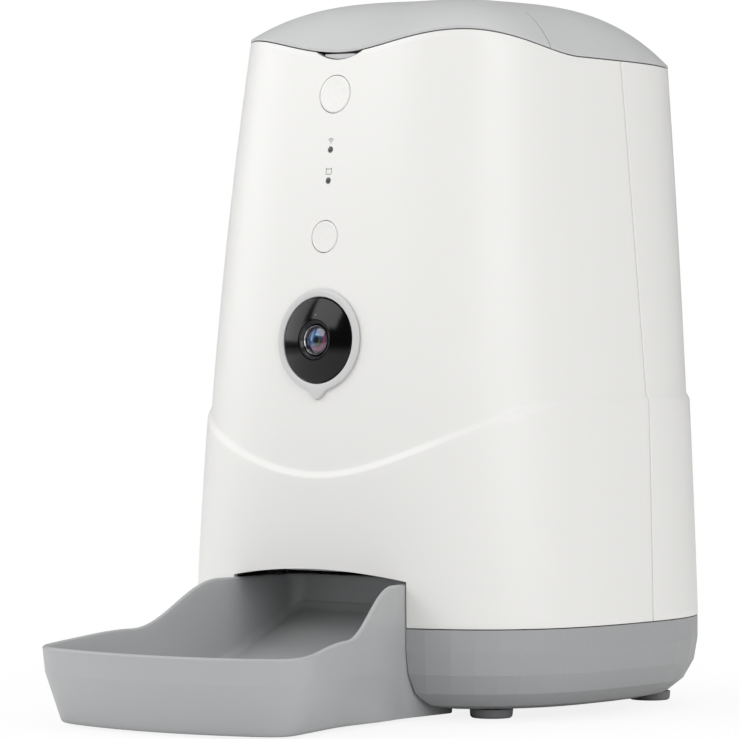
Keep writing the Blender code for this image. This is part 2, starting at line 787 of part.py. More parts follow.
def wall_hole(name, radius, height, tilt, steps):
    centre = Vector((0, front_face(height), height))
    along = Vector((0, -math.cos(tilt), math.sin(tilt))) * (SHELL_WALL + OVERRUN)
    return bar(name, radius, centre - along, centre + along, steps=steps)


def arch_outline(half_width, spring, top, foot):
    """Arch seen from the front: upright sides, then a flat arc."""
    shares = np.linspace(-1, 1, ARCH_STEPS)
    arc = [(half_width * s, spring + (top - spring) * (1 - s * s)) for s in shares]
    return [(-half_width, foot)] + arc + [(half_width, foot)]


def standing(obj):
    """Turns a flat piece to stand upright, so that its own Y points up and its thickness lies along Y."""
    obj.matrix_world = Matrix.Translation(obj.location) @ Matrix.Rotation(math.pi / 2, 4, "X")
    return obj


def arch_cutter():
    outline = arch_outline(ARCH_HALF_WIDTH, ARCH_SPRING, ARCH_TOP, BASE_TOP - OVERRUN)
    depth = SHELL_WALL + BASE_ROUND_RUN
    obj = plate("arch_cutter", [outline], -depth, depth)
    obj.location = (0, front_face(ARCH_SPRING), 0)
    return standing(obj)


def scoop_radius():
    """Radius of the arc with the scoop's width and depth."""
    return (SCOOP_HALF_WIDTH ** 2 + SCOOP_DEPTH ** 2) / (2 * SCOOP_DEPTH)


def scoop_cutter():
    """Wide shallow scoop in the top edge, in front of the latch."""
    radius = scoop_radius()
    centre = EDGE_FRONT - SCOOP_DEPTH + radius
    start = (0, front_face(EDGE_FRONT) - OVERRUN, centre)
    end = (0, front_face(EDGE_FRONT) + SHELL_WALL + OVERRUN, centre)
    return bar("scoop_cutter", radius, start, end, steps=2 * ROUND_STEPS)


def board_bosses():
    """Places of the four bosses that hold the button board, between the two buttons."""
    x = BUTTON_BOARD_WIDTH / 2 - BOSS_RADIUS
    low = SETTINGS_BUTTON_HEIGHT + SETTINGS_BUTTON_RADIUS + BOSS_CLEARANCE
    high = FEED_BUTTON_HEIGHT - FEED_BUTTON_RADIUS - BOSS_CLEARANCE
    return [(side * x, height) for side in (-1, 1) for height in (low, high)]


def board_line():
    """Middle of the button board's front face, and its tilt, beside a line between the two buttons."""
    low = Vector((0, front_face(SETTINGS_BUTTON_HEIGHT), SETTINGS_BUTTON_HEIGHT))
    high = Vector((0, front_face(FEED_BUTTON_HEIGHT), FEED_BUTTON_HEIGHT))
    tilt = math.atan((high.y - low.y) / (high.z - low.z))
    inward = Vector((0, math.cos(tilt), -math.sin(tilt)))
    return (low + high) / 2 + inward * BOARD_DEPTH, tilt


def board_boss(number, x, height):
    middle, tilt = board_line()
    inward = Vector((0, math.cos(tilt), -math.sin(tilt)))
    start = Vector((x, front_face(height) + SHELL_WALL / 2, height))
    length = (middle - start).dot(inward) - GAP
    return bar("board_boss_%d" % number, BOSS_RADIUS, start, start + inward * length, steps=SMALL_STEPS // 2)


def rear_shell():
    shares = np.linspace(0, 1, REAR_COLUMNS)

    def turns(height, out):
        start = seam_turn(np.asarray(height) * np.ones_like(shares), SEAM_GAP / 2, out)
        return start + (2 - start) * shares

    nominal = turns(WAVE_HIGH, 0)
    obj = loft("rear_shell", shell_rows(turns, shell_heights(nominal)), WHITE)
    thicken(mirror(obj), SHELL_WALL)
    cut(obj, socket_hole())
    for number in range(GRILLE_SLOTS):
        cut(obj, grille_slot(number))
    for number, (x, height) in enumerate(main_board_corners()):
        join(obj, main_board_boss(number, x, height))
    return obj


def socket_hole():
    centre = rear_face(SOCKET_HEIGHT)
    start = (0, centre - SHELL_WALL - OVERRUN, SOCKET_HEIGHT)
    end = (0, centre + OVERRUN, SOCKET_HEIGHT)
    return bar("socket_hole", SOCKET_NOSE + GAP, start, end)


def grille_slot(number):
    """Upright slot of the speaker grille. The slots grow shorter away from the middle."""
    offset = (number - (GRILLE_SLOTS - 1) / 2) * GRILLE_PITCH
    reach = GRILLE_LENGTH / 2
    half = math.sqrt(reach ** 2 - offset ** 2)
    centre = rear_face(SPEAKER_HEIGHT)
    low = (offset - GRILLE_SLOT / 2, centre - SHELL_WALL - OVERRUN, SPEAKER_HEIGHT - half)
    high = (offset + GRILLE_SLOT / 2, centre + OVERRUN, SPEAKER_HEIGHT + half)
    return block("grille_slot_%d" % number, low, high)


# Base
def base_rows(turns):
    out_top = WAVE_STEP
    rows = [(BASE_TOP, out_top)]
    for share in BASE_ROW_SHARES:
        angle = share * math.pi / 2
        height = FOOT_HEIGHT + BASE_ROUND_RISE * (1 - math.sin(angle))
        rows.append((height, out_top - BASE_ROUND_RUN * (1 - math.cos(angle))))
    points = []
    for height, out in reversed(rows):
        x, y = wall(turns, BASE_TOP, out)
        points.append(np.stack([x, y, height * np.ones_like(x)], axis=-1))
    middle = points[0].copy()
    middle[:, 0] = 0
    middle[:, 1] = AXIS_Y + (middle[:, 1] - AXIS_Y) * BASE_MIDDLE_SHARE
    return [middle] + points


def base_housing():
    turns = np.concatenate([np.linspace(0, 1, FRONT_COLUMNS), np.linspace(1, 2, REAR_COLUMNS)[1:]])
    obj = loft("base_housing", base_rows(turns), BASE_GREY)
    thicken(mirror(obj), BASE_WALL)
    cut(obj, recess_cutter(), battery_hole())
    for number, (x, y) in enumerate(post_places()):
        foot_of_post = (x, y, FOOT_HEIGHT + BASE_WALL / 2)
        top_of_post = (x, y, PLATE_TOP - PLATE_THICKNESS - GAP)
        join(obj, bar("post_%d" % number, POST_RADIUS, foot_of_post, top_of_post, steps=POST_STEPS))
        low = (x, y, PLATE_TOP - SCREW_LENGTH - 2 * GAP)
        high = (x, y, PLATE_TOP + OVERRUN)
        cut(obj, bar("post_bore_%d" % number, SCREW_RADIUS + GAP, low, high, steps=SMALL_STEPS // 2))
    for side in (-1, 1):
        join(obj, door_rail(side))
    return obj


def recess_cutter():
    """Opening for the tray in the front and floor of the base, its two bottom corners flared outwards."""
    half = ARCH_HALF_WIDTH - GAP
    corner = FOOT_HEIGHT + RECESS_CORNER
    right = []
    for share in np.linspace(0, 1, RECESS_STEPS):
        angle = share * math.pi / 2
        right.append((half + RECESS_CORNER * (1 - math.cos(angle)), corner - RECESS_CORNER * math.sin(angle)))
    right.append((half + RECESS_CORNER, -OVERRUN))
    right = [(half, BASE_TOP + OVERRUN)] + right
    outline = right + [(-x, y) for x, y in reversed(right)]
    start = AXIS_Y - TRAY_REACH / 2
    end = AXIS_Y - TRAY_NECK_BACK + RECESS_BEHIND
    obj = plate("recess_cutter", [outline], -(end - start) / 2, (end - start) / 2)
    obj.location = (0, (start + end) / 2, 0)
    return standing(obj)


def post_places():
    return [(side * POST_X, AXIS_Y + y) for side in (-1, 1) for y in (-POST_FRONT, POST_REAR)]


def battery_span():
    rear = AXIS_Y + BATTERY_REAR
    return rear - BATTERY_LENGTH, rear


def battery_hole():
    front, rear = battery_span()
    low = (-BATTERY_HALF_WIDTH, front, -OVERRUN)
    high = (BATTERY_HALF_WIDTH, rear, FOOT_HEIGHT + BASE_WALL + OVERRUN)
    return block("battery_hole", low, high)


def door_rail(side):
    """Angle rail under the base that the battery door slides in."""
    front, rear = battery_span()
    edge = BATTERY_HALF_WIDTH + DOOR_LIP + GAP
    bottom = FOOT_HEIGHT - GAP - DOOR_THICKNESS - GAP
    name = "door_rail_%s" % ("right" if side > 0 else "left")
    sides = sorted((side * edge, side * (edge + DOOR_RAIL)))
    top = FOOT_HEIGHT + BASE_WALL / 2
    upright = block(name, (sides[0], front, bottom - DOOR_RAIL / 2), (sides[1], rear, top))
    reach = sorted((side * (edge - DOOR_RAIL), side * (edge + DOOR_RAIL / 2)))
    low = (reach[0], front + GAP, bottom - DOOR_LEDGE)
    ledge = block(name + "_ledge", low, (reach[1], rear - GAP, bottom))
    return join(upright, ledge)


def battery_door():
    front, rear = battery_span()
    top = FOOT_HEIGHT - GAP
    half = BATTERY_HALF_WIDTH + DOOR_LIP
    low = (-half, front - DOOR_LIP, top - DOOR_THICKNESS)
    obj = block("battery_door", low, (half, rear + DOOR_LIP, top), BASE_GREY)
    grip = half * DOOR_GRIP_SHARE
    for number in range(DOOR_GRIPS):
        y = rear - (number + 1) * DOOR_GRIP_PITCH
        deep = top - DOOR_THICKNESS + DOOR_GRIP_DEPTH
        groove_low = (-grip, y - DOOR_GRIP, top - DOOR_THICKNESS - OVERRUN)
        cut(obj, block("door_groove_%d" % number, groove_low, (grip, y, deep)))
    return obj


def battery_box():
    """Box for the spare batteries, open at the bottom."""
    front, rear = battery_span()
    bottom = FOOT_HEIGHT + BASE_WALL + GAP
    low = (-BATTERY_HALF_WIDTH - BATTERY_WALL, front - BATTERY_WALL, bottom)
    high = (BATTERY_HALF_WIDTH + BATTERY_WALL, rear + BATTERY_WALL, BATTERY_TOP)
    obj = block("battery_box", low, high, DARK)
    inside = block(
        "battery_room",
        (-BATTERY_HALF_WIDTH, front, bottom - OVERRUN),
        (BATTERY_HALF_WIDTH, rear, BATTERY_TOP - BATTERY_WALL),
    )
    return cut(obj, inside)


def battery_contact(name, end):
    front, rear = battery_span()
    y = front + GAP if end < 0 else rear - GAP - CONTACT_THICKNESS
    bottom = FOOT_HEIGHT + BASE_WALL + BATTERY_WALL
    top = BATTERY_TOP - BATTERY_WALL - GAP
    half = BATTERY_HALF_WIDTH * CONTACT_WIDTH_SHARE
    return block(name, (-half, y, bottom), (half, y + CONTACT_THICKNESS, top), STEEL)


def foot(name, x, y):
    radius = FOOT_RADIUS
    height = FOOT_HEIGHT - GAP
    edge = FOOT_EDGE
    profile = [(0, height), (radius, height), (radius - edge / 2, edge), (radius - 2 * edge, 0), (0, 0)]
    return turned(name, profile, RUBBER, (x, y, 0), steps=MEDIUM_STEPS)


# Tray and its guide
def curve_points(start, apex, end, count):
    """Points along the curve that leaves start towards apex and comes into end from there, but the first."""
    start, apex, end = Vector(start), Vector(apex), Vector(end)
    shares = np.linspace(0, 1, count)[1:]
    return [tuple(start * (1 - s) ** 2 + apex * 2 * s * (1 - s) + end * s * s) for s in shares]


def tray_half_outline():
    """Right half of the tray's rim from above, measured from the axis: front, corner, fan, neck and back."""
    bulge = TRAY_FRONT_BULGE / TRAY_CORNER_X ** 2
    points = [(x, -TRAY_REACH + bulge * x * x) for x in np.linspace(0, TRAY_CORNER_X, 5)]
    start = Vector(points[-1])
    slope = 2 * bulge * TRAY_CORNER_X
    fan_x = TRAY_NECK + TRAY_FAN_SHARE * (TRAY_CORNER_BACK - TRAY_NECK_FRONT)
    end = Vector((fan_x, -TRAY_CORNER_BACK))
    fan = slope * TRAY_FAN_SHARE
    apex_y = (start.y + slope * (fan_x - start.x) + fan * end.y) / (1 + fan)
    apex = Vector((fan_x - TRAY_FAN_SHARE * (apex_y - end.y), apex_y))
    points += curve_points(start, apex, end, TRAY_CURVE_STEPS)
    radius = TRAY_NECK_CORNER
    for y in np.linspace(-TRAY_CORNER_BACK, -TRAY_NECK_FRONT - radius, TRAY_SIDE_STEPS)[1:]:
        points.append((TRAY_NECK + TRAY_FAN_SHARE * (-y - TRAY_NECK_FRONT), y))
    bend = (TRAY_NECK, -TRAY_NECK_FRONT)
    points += curve_points(points[-1], bend, (TRAY_NECK, -TRAY_NECK_FRONT + radius), TRAY_CURVE_STEPS // 2)
    for y in np.linspace(points[-1][1], -TRAY_NECK_BACK - TRAY_BACK_CORNER, TRAY_SIDE_STEPS // 2)[1:-1]:
        points.append((TRAY_NECK, y))
    for share in BASE_ROW_SHARES:
        angle = share * math.pi / 2
        x = TRAY_NECK - TRAY_BACK_CORNER * (1 - math.cos(angle))
        points.append((x, -TRAY_NECK_BACK - TRAY_BACK_CORNER * (1 - math.sin(angle))))
    points += [(TRAY_NECK / 2, -TRAY_NECK_BACK), (0, -TRAY_NECK_BACK)]
    return np.array(points)


def inset(outline, distance):
    """Outline moved inwards by a distance that may differ from point to point."""
    along = np.gradient(outline, axis=0)
    along[0] = (1, 0)
    along[-1] = (-1, 0)
    along /= np.linalg.norm(along, axis=1)[:, None]
    inward = np.stack([-along[:, 1], along[:, 0]], axis=1)
    moved = outline + inward * np.broadcast_to(distance, len(outline))[:, None]
    moved[:, 0] = np.maximum(moved[:, 0], 0)
    moved[[0, -1], 0] = 0
    return moved


def tray_rim(y):
    ahead = -y
    first = ease((TRAY_RIM_RISE_FRONT - ahead) / (TRAY_RIM_RISE_FRONT - TRAY_RIM_RISE_MIDDLE))
    second = ease((TRAY_RIM_RISE_MIDDLE - ahead) / (TRAY_RIM_RISE_MIDDLE - TRAY_RIM_RISE_BACK))
    middle = TRAY_RIM_FRONT + (TRAY_RIM_MIDDLE - TRAY_RIM_FRONT) * first
    return middle + (TRAY_RIM_NECK - TRAY_RIM_MIDDLE) * second


def tray_floor(y):
    share = np.clip((TRAY_RAMP_START + y) / (TRAY_RAMP_START - TRAY_NECK_BACK - TRAY_WALL), 0, 1)
    bottom = TRAY_FLOOR_GAP + TRAY_FLOOR
    return bottom + (TRAY_RAMP_TOP - bottom) * share


def tray_taper(height, rim_height, fade):
    """How far the outer wall stands inside the rim's outline. Fade is 1 on the bowl and less on the neck."""
    low = np.interp(height, (TRAY_FLOOR_GAP, TRAY_CREASE), (TRAY_TAPER, TRAY_CREASE_INSET))
    high = TRAY_CREASE_INSET * (rim_height - height) / (rim_height - TRAY_CREASE)
    return np.where(np.asarray(height) < TRAY_CREASE, low, high) * fade


def food_tray():
    rim = tray_half_outline()
    rim_height = tray_rim(rim[:, 1])
    edge = TRAY_WALL * TRAY_EDGE_SHARE
    neck = ease((rim[:, 1] + TRAY_RIM_RISE_MIDDLE) / (TRAY_RIM_RISE_MIDDLE - TRAY_NECK_FRONT))
    fade = 1 - (1 - TRAY_NECK_TAPER_SHARE) * neck

    def ring(distance, height):
        moved = inset(rim, distance)
        height = np.broadcast_to(height, len(rim))
        return np.stack([moved[:, 0], moved[:, 1], height], axis=1)

    def middle(points, drop):
        """Points on the centre line for the inner edge of a floor or of the hollow's roof."""
        line = np.zeros_like(points)
        centre = (points[0, 1] + points[-1, 1]) / 2
        line[:, 1] = centre + (points[:, 1] - centre) * TRAY_MIDDLE_SHARE
        line[:, 2] = tray_floor(line[:, 1]) - drop
        return line

    bottom = TRAY_FLOOR_GAP
    hollow = ring(TRAY_TAPER * fade + 2 * edge + TRAY_WALL, bottom)
    roof = ring(TRAY_TAPER * fade + 3 * edge + TRAY_WALL, bottom)
    roof[:, 2] = tray_floor(roof[:, 1]) - TRAY_FLOOR
    rows = [middle(roof, TRAY_FLOOR), roof, hollow]
    rows += [ring(TRAY_TAPER * fade + 2 * edge, bottom), ring(TRAY_TAPER * fade, bottom + 2 * edge)]
    rows.append(ring(TRAY_CREASE_INSET * fade, TRAY_CREASE))
    rows.append(ring(tray_taper(rim_height - edge, rim_height, fade), rim_height - edge))
    rows.append(ring(edge, rim_height))
    rows.append(ring(TRAY_WALL - edge, rim_height))
    rows.append(ring(TRAY_WALL, rim_height - edge))
    floor_height = tray_floor(inset(rim, TRAY_WALL + TRAY_CREASE_INSET)[:, 1])
    bend = np.maximum(TRAY_CREASE, floor_height + 2 * edge)
    rows.append(ring(TRAY_WALL + tray_taper(bend, rim_height, fade), bend))
    low = floor_height + edge
    rows.append(ring(TRAY_WALL + tray_taper(low, rim_height, fade), low))
    floor = ring(TRAY_WALL + tray_taper(low, rim_height, fade) + 2 * edge, low)
    floor[:, 2] = tray_floor(floor[:, 1])
    rows += [floor, middle(floor, 0)]
    rows = np.array(rows)
    rows[:, :, 1] += AXIS_Y
    obj = origin_at(loft("food_tray", rows, TRAY_GREY), (0, AXIS_Y - TRAY_NECK_FRONT, TRAY_FLOOR_GAP))
    return mirror(obj)


def tray_guide():
    """Dark channel behind the opening: two side walls and a back wall on a flange that lies on the floor."""
    inner = ARCH_HALF_WIDTH - GAP
    outer = inner + GUIDE_WALL
    back = AXIS_Y - TRAY_NECK_BACK + GAP
    bottom = FOOT_HEIGHT + BASE_WALL + GAP

    def channel(half, front, rear):
        """Outline of a U that is open to the front."""
        return [(-half, front), (-inner, front), (-inner, back), (inner, back), (inner, front), (half, front),
                (half, rear), (-half, rear)]

    outline = channel(outer, AXIS_Y - GUIDE_FRONT, back + GUIDE_WALL)
    walls = plate("tray_guide", [outline], bottom, GUIDE_TOP, DARK)
    flange = channel(inner + GUIDE_FLANGE, AXIS_Y - GUIDE_FLANGE_FRONT, back + GUIDE_FLANGE)
    return join(walls, plate("guide_flange", [flange], bottom, bottom + GUIDE_WALL))


# Lid
def lid_dome(name):
    """Whole domed lid with its wall. The flap and the cap are each cut from one."""
    turns = np.concatenate([np.linspace(0, 1, FRONT_COLUMNS), np.linspace(1, 2, REAR_COLUMNS)[1:]])
    start = top_edge(turns) + SEAM_GAP
    x, y = wall(turns, start)
    rows = [np.stack([x, y, start], axis=-1)]
    centre = AXIS_Y + LID_CENTRE_BEHIND
    for share in LID_ROW_SHARES:
        height = start + LID_LIP + (LID_TOP - start - LID_LIP) * (1 - share ** LID_SHOULDER_SHARE)
        rows.append(np.stack([x * share, centre + (y - centre) * share, height], axis=-1))
    obj = origin_at(loft(name, rows, LID_GREY), hinge_point())
    return thicken(mirror(obj), LID_WALL)


def hinge_point():
    y = AXIS_Y - PARTING_FRONT
    return Vector((0, y, lid_height(0, y) - KNUCKLE_DROP))


def parting_line(behind, notch):
    """Parting seen from above. It sweeps forwards to the sides and is set back by a notch at the hinge."""
    reach = HALF_WIDTH
    notch_x = KNUCKLE_END + KNUCKLE_CLEARANCE
    line = []
    for x in np.linspace(notch_x, reach, 9):
        line.append((x, AXIS_Y - PARTING_FRONT - PARTING_SWEEP * (x / reach) ** 2 + behind))
    half = [(0, AXIS_Y - PARTING_FRONT + notch), (notch_x, AXIS_Y - PARTING_FRONT + notch)] + line
    return [(-x, y) for x, y in reversed(half[1:])] + half


def parting_cutter(name, keep_front):
    """Block that removes what lies behind the parting line, or what lies in front of it."""
    side = -1 if keep_front else 1
    room = KNUCKLE_RADIUS + KNUCKLE_CLEARANCE if keep_front else KNUCKLE_SWEEP
    line = parting_line(side * PARTING_GAP / 2, side * room)
    far = AXIS_Y - side * 2 * HALF_WIDTH
    outline = line + [(line[-1][0], far), (line[0][0], far)]
    return plate(name, [outline], EDGE_REAR - OVERRUN, LID_TOP + OVERRUN)


def knuckle(name, low_x, high_x, side):
    """Hinge knuckle with an arm to the flap, at side -1, or to the cap, at side 1."""
    axis = hinge_point()
    barrel = bar(name, KNUCKLE_RADIUS, (low_x, axis.y, axis.z), (high_x, axis.y, axis.z), steps=SMALL_STEPS)
    reach = axis.y + side * (KNUCKLE_RADIUS + 2 * KNUCKLE_CLEARANCE + LID_WALL)
    low = (low_x + GAP, min(axis.y, reach), axis.z - KNUCKLE_RADIUS / 2)
    high = (high_x - GAP, max(axis.y, reach), axis.z + KNUCKLE_RADIUS * KNUCKLE_ARM_SHARE)
    return join(barrel, block(name + "_arm", low, high))


def pin_hole(name):
    axis = hinge_point()
    reach = KNUCKLE_END + GAP
    ends = (-reach, axis.y, axis.z), (reach, axis.y, axis.z)
    return bar(name, PIN_RADIUS + GAP, *ends, steps=SMALL_STEPS // 2)


def hinge_pin():
    axis = hinge_point()
    start = (-KNUCKLE_END, axis.y, axis.z)
    return bar("hinge_pin", PIN_RADIUS, start, (KNUCKLE_END, axis.y, axis.z), STEEL, SMALL_STEPS // 2)


def lid_flap():
    obj = cut(lid_dome("lid_flap"), parting_cutter("behind_parting", True))
    join(obj, knuckle("flap_knuckle", -KNUCKLE_HALF, KNUCKLE_HALF, -1))
    return cut(obj, pin_hole("flap_pin_hole"))


def lid_rear_cap():
    obj = cut(lid_dome("lid_rear_cap"), parting_cutter("before_parting", False))
    inner = KNUCKLE_HALF + GAP
    join(obj, knuckle("cap_knuckle_right", inner, KNUCKLE_END, 1))
    join(obj, knuckle("cap_knuckle_left", -KNUCKLE_END, -inner, 1))
    return cut(obj, pin_hole("cap_pin_hole"))


def fill_half(grow):
    """Right half of the filling hole's outline, from front to rear, grown by a distance."""
    centre = fill_centre()
    return [fill_point(angle, grow, centre) for angle in np.linspace(0, math.pi, FILL_STEPS)]


def fill_centre():
    return AXIS_Y - (FILL_FRONT + FILL_REAR) / 2


def fill_point(angle, grow, centre):
    """Point of the filling hole's edge in a direction from its middle, 0 being the front."""
    half = FILL_HALF_WIDTH + grow
    depth = (FILL_FRONT - FILL_REAR) / 2 + grow
    return squared_point(angle, half, depth, FILL_CORNER_SHARE, centre)


def squared_point(angle, half, depth, power, centre):
    """Point of a squared oval in a direction from its middle."""
    reach = ((math.sin(angle) / half) ** power + (abs(math.cos(angle)) / depth) ** power) ** (-1 / power)
    x = 0.0 if angle in (0.0, math.pi) else reach * math.sin(angle)
    return (x, centre - reach * math.cos(angle))


def lid_liner():
    """Flat plate inside the lid with four posts up to the lid and a tongue that guides the latch."""
    top = LINER_BOTTOM + LINER_THICKNESS
    obj = plate("lid_liner", [around(fill_half(LINER_MARGIN))], LINER_BOTTOM, top, LID_GREY)
    for number, (x, y) in enumerate(liner_posts()):
        height = lid_height(abs(x) + LINER_POST_RADIUS, y - LINER_POST_RADIUS) - LID_WALL * LINER_POST_SHARE
        start = (x, y, LINER_BOTTOM + LINER_THICKNESS / 2)
        post = bar("liner_post_%d" % number, LINER_POST_RADIUS, start, (x, y, height), steps=SMALL_STEPS // 2)
        join(obj, post)
    rear = AXIS_Y - FILL_FRONT
    tongue = block(
        "latch_tongue",
        (-TONGUE_HALF_WIDTH, latch_back() - LATCH_BODY, LINER_BOTTOM + GAP),
        (TONGUE_HALF_WIDTH, rear, top - GAP),
    )
    seat_y = spring_end()
    seat = block(
        "spring_seat",
        (-TONGUE_HALF_WIDTH, seat_y, EDGE_FRONT - SCOOP_DEPTH / 2),
        (TONGUE_HALF_WIDTH, seat_y + LINER_THICKNESS, top - GAP),
    )
    return join(obj, tongue, seat)


def liner_posts():
    rows = (AXIS_Y - LINER_POST_FRONT, AXIS_Y - LINER_POST_REAR)
    return [(side * LINER_POST_X, y) for side in (-1, 1) for y in rows]


def lid_seal():
    """Soft ring under the liner that meets the deck's collar."""
    outer = around(fill_half(LINER_MARGIN - GAP))
    inner = around(fill_half(LINER_MARGIN - GAP - SEAL_WIDTH))
    return plate("lid_seal", [outer, inner], COLLAR_TOP + GAP, LINER_BOTTOM - GAP, SILICONE)


def desiccant_span():
    front = AXIS_Y - DESICCANT_FRONT
    return front, front + DESICCANT_LENGTH


def desiccant_box():
    front, rear = desiccant_span()
    top = LINER_BOTTOM - GAP
    bottom = top - DESICCANT_DROP
    half = DESICCANT_HALF_WIDTH
    obj = block("desiccant_box", (-half, front, bottom), (half, rear, top), LID_GREY)
    edge = DESICCANT_WALL
    low = (-half + edge, front + edge, bottom - OVERRUN)
    room = block("desiccant_room", low, (half - edge, rear - edge, top - edge))
    return cut(obj, room)


def desiccant_cover():
    """Slotted cover that hinges down to change the sachet."""
    front, rear = desiccant_span()
    edge = DESICCANT_WALL + GAP
    bottom = LINER_BOTTOM - GAP - DESICCANT_DROP
    half = DESICCANT_HALF_WIDTH - edge
    low = (-half, front + edge, bottom)
    obj = block("desiccant_cover", low, (half, rear - edge, bottom + DESICCANT_WALL), LID_GREY)
    origin_at(obj, (0, rear - edge, bottom))
    for number in range(COVER_SLOTS):
        x = (number - (COVER_SLOTS - 1) / 2) * half * COVER_PITCH_SHARE
        slot_low = (x - COVER_SLOT / 2, front + COVER_SLOT_MARGIN, bottom - OVERRUN)
        slot_high = (x + COVER_SLOT / 2, rear - COVER_SLOT_MARGIN, bottom + DESICCANT_WALL + OVERRUN)
        cut(obj, block("cover_slot_%d" % number, slot_low, slot_high))
    return obj


# Latch
def latch_back():
    return front_face(EDGE_FRONT) + LATCH_DEPTH


def spring_end():
    return latch_back() + GAP + SPRING_LENGTH + GAP


def latch_button():
    """Grey press tab: its lower end fills the scoop and its upper part lies behind the lid's wall."""
    face = front_face(EDGE_FRONT) + LATCH_RECESS
    back = latch_back()
    bottom = EDGE_FRONT - SCOOP_DEPTH + SEAM_GAP
    step = EDGE_FRONT
    top = EDGE_FRONT + LATCH_RISE
    half = LATCH_HALF_WIDTH
    radius = scoop_radius()
    shares = np.linspace(-1, 1, SCOOP_STEPS)
    arc = [(half * s, bottom + radius - math.sqrt(radius ** 2 - (half * s) ** 2)) for s in shares]
    obj = plate("latch_button", [arc + [(half, step - GAP), (-half, step - GAP)]], 0, back - face, LID_GREY)
    obj.location = (0, (face + back) / 2, 0)
    origin_at(standing(obj), (0, (face + back) / 2, EDGE_FRONT))
    inner = back - LATCH_BODY
    body = block("latch_body", (-half, inner, step - SCOOP_DEPTH / 2), (half, back, top))
    join(obj, body)
    slot = block(
        "latch_slot",
        (-TONGUE_HALF_WIDTH - GAP, inner - OVERRUN, LINER_BOTTOM),
        (TONGUE_HALF_WIDTH + GAP, back + OVERRUN, LINER_BOTTOM + LINER_THICKNESS),
    )
    return cut(obj, slot)


def latch_spring():
    """Small coil between the latch and the liner, wound about a line along Y."""
    curve = bpy.data.curves.new("latch_spring", "CURVE")
    curve.dimensions = "3D"
    curve.bevel_depth = SPRING_WIRE
    curve.bevel_resolution = 1
    curve.use_fill_caps = True
    spline = curve.splines.new("POLY")
    count = SPRING_TURNS * SPRING_TURN_STEPS + 1
    spline.points.add(count - 1)
    usable = SPRING_LENGTH - 2 * SPRING_WIRE
    for number, point in enumerate(spline.points):
        share = number / (count - 1)
        angle = share * SPRING_TURNS * 2 * math.pi
        x = SPRING_RADIUS * math.cos(angle)
        z = SPRING_RADIUS * math.sin(angle)
        point.co = (x, SPRING_WIRE + usable * share, z, 1)
    obj = bpy.data.objects.new("latch_spring", curve)
    PARTS.objects.link(obj)
    return as_mesh(obj, STEEL, (0, latch_back() + GAP, EDGE_FRONT))


# Deck and hopper
def fill_deck():
    """Deck under the lid, with a collared filling hole."""
    turns = np.concatenate([np.linspace(0, 1, FRONT_COLUMNS), np.linspace(1, 2, REAR_COLUMNS)[1:]])
    x, y = wall(turns, DECK_TOP, -SHELL_WALL - 2 * GAP)
    centre = fill_centre()
    angles = np.arctan2(x, -(y - centre))
    angles[0] = 0.0
    angles[-1] = math.pi
    hole = np.array([fill_point(float(angle), DECK_WALL, centre) for angle in angles])
    flat = DECK_TOP * np.ones_like(x)
    rows = [np.stack([x, y, flat], axis=-1), np.column_stack([hole, flat])]
    rows.append(np.column_stack([hole, COLLAR_TOP * np.ones_like(x)]))
    obj = loft("fill_deck", rows, WHITE)
    return thicken(mirror(obj), DECK_WALL)


def hopper():
    """Square-shouldered tank that narrows to a round throat."""
    centre = AXIS_Y - HOPPER_CENTRE_FRONT
    angles = np.linspace(0, math.pi, HOPPER_STEPS)
    top = DECK_TOP - DECK_WALL - HOPPER_WALL - 3 * GAP

    def ring(height, share, grow):
        """Section between the tank's outline, at share 0, and the throat's circle, at share 1."""
        tank = []
        for angle in angles:
            depth = (HOPPER_FRONT if angle < math.pi / 2 else HOPPER_REAR) + grow
            width = HOPPER_HALF_WIDTH + grow
            tank.append(squared_point(float(angle), width, depth, HOPPER_CORNER_SHARE, centre))
        tank = np.array(tank)
        x = tank[:, 0] * (1 - share) + THROAT_RADIUS * np.sin(angles) * share
        x[[0, -1]] = 0
        y = tank[:, 1] * (1 - share) + (centre - THROAT_RADIUS * np.cos(angles)) * share
        return np.stack([x, y, height * np.ones_like(x)], axis=-1)

    rows = [
        ring(THROAT_BOTTOM, 1, 0),
        ring(THROAT_TOP, 1, 0),
        ring((HOPPER_SHOULDER + THROAT_TOP) / 2, 0.5, 0),
        ring(HOPPER_SHOULDER, 0, 0),
        ring(top, 0, 0),
        ring(top, 0, HOPPER_FLANGE),
    ]
    return thicken(mirror(loft("hopper", rows, CLEAR_GREY)), HOPPER_WALL)


# Portion wheel and its cup
def wheel_centre():
    return AXIS_Y - HOPPER_CENTRE_FRONT


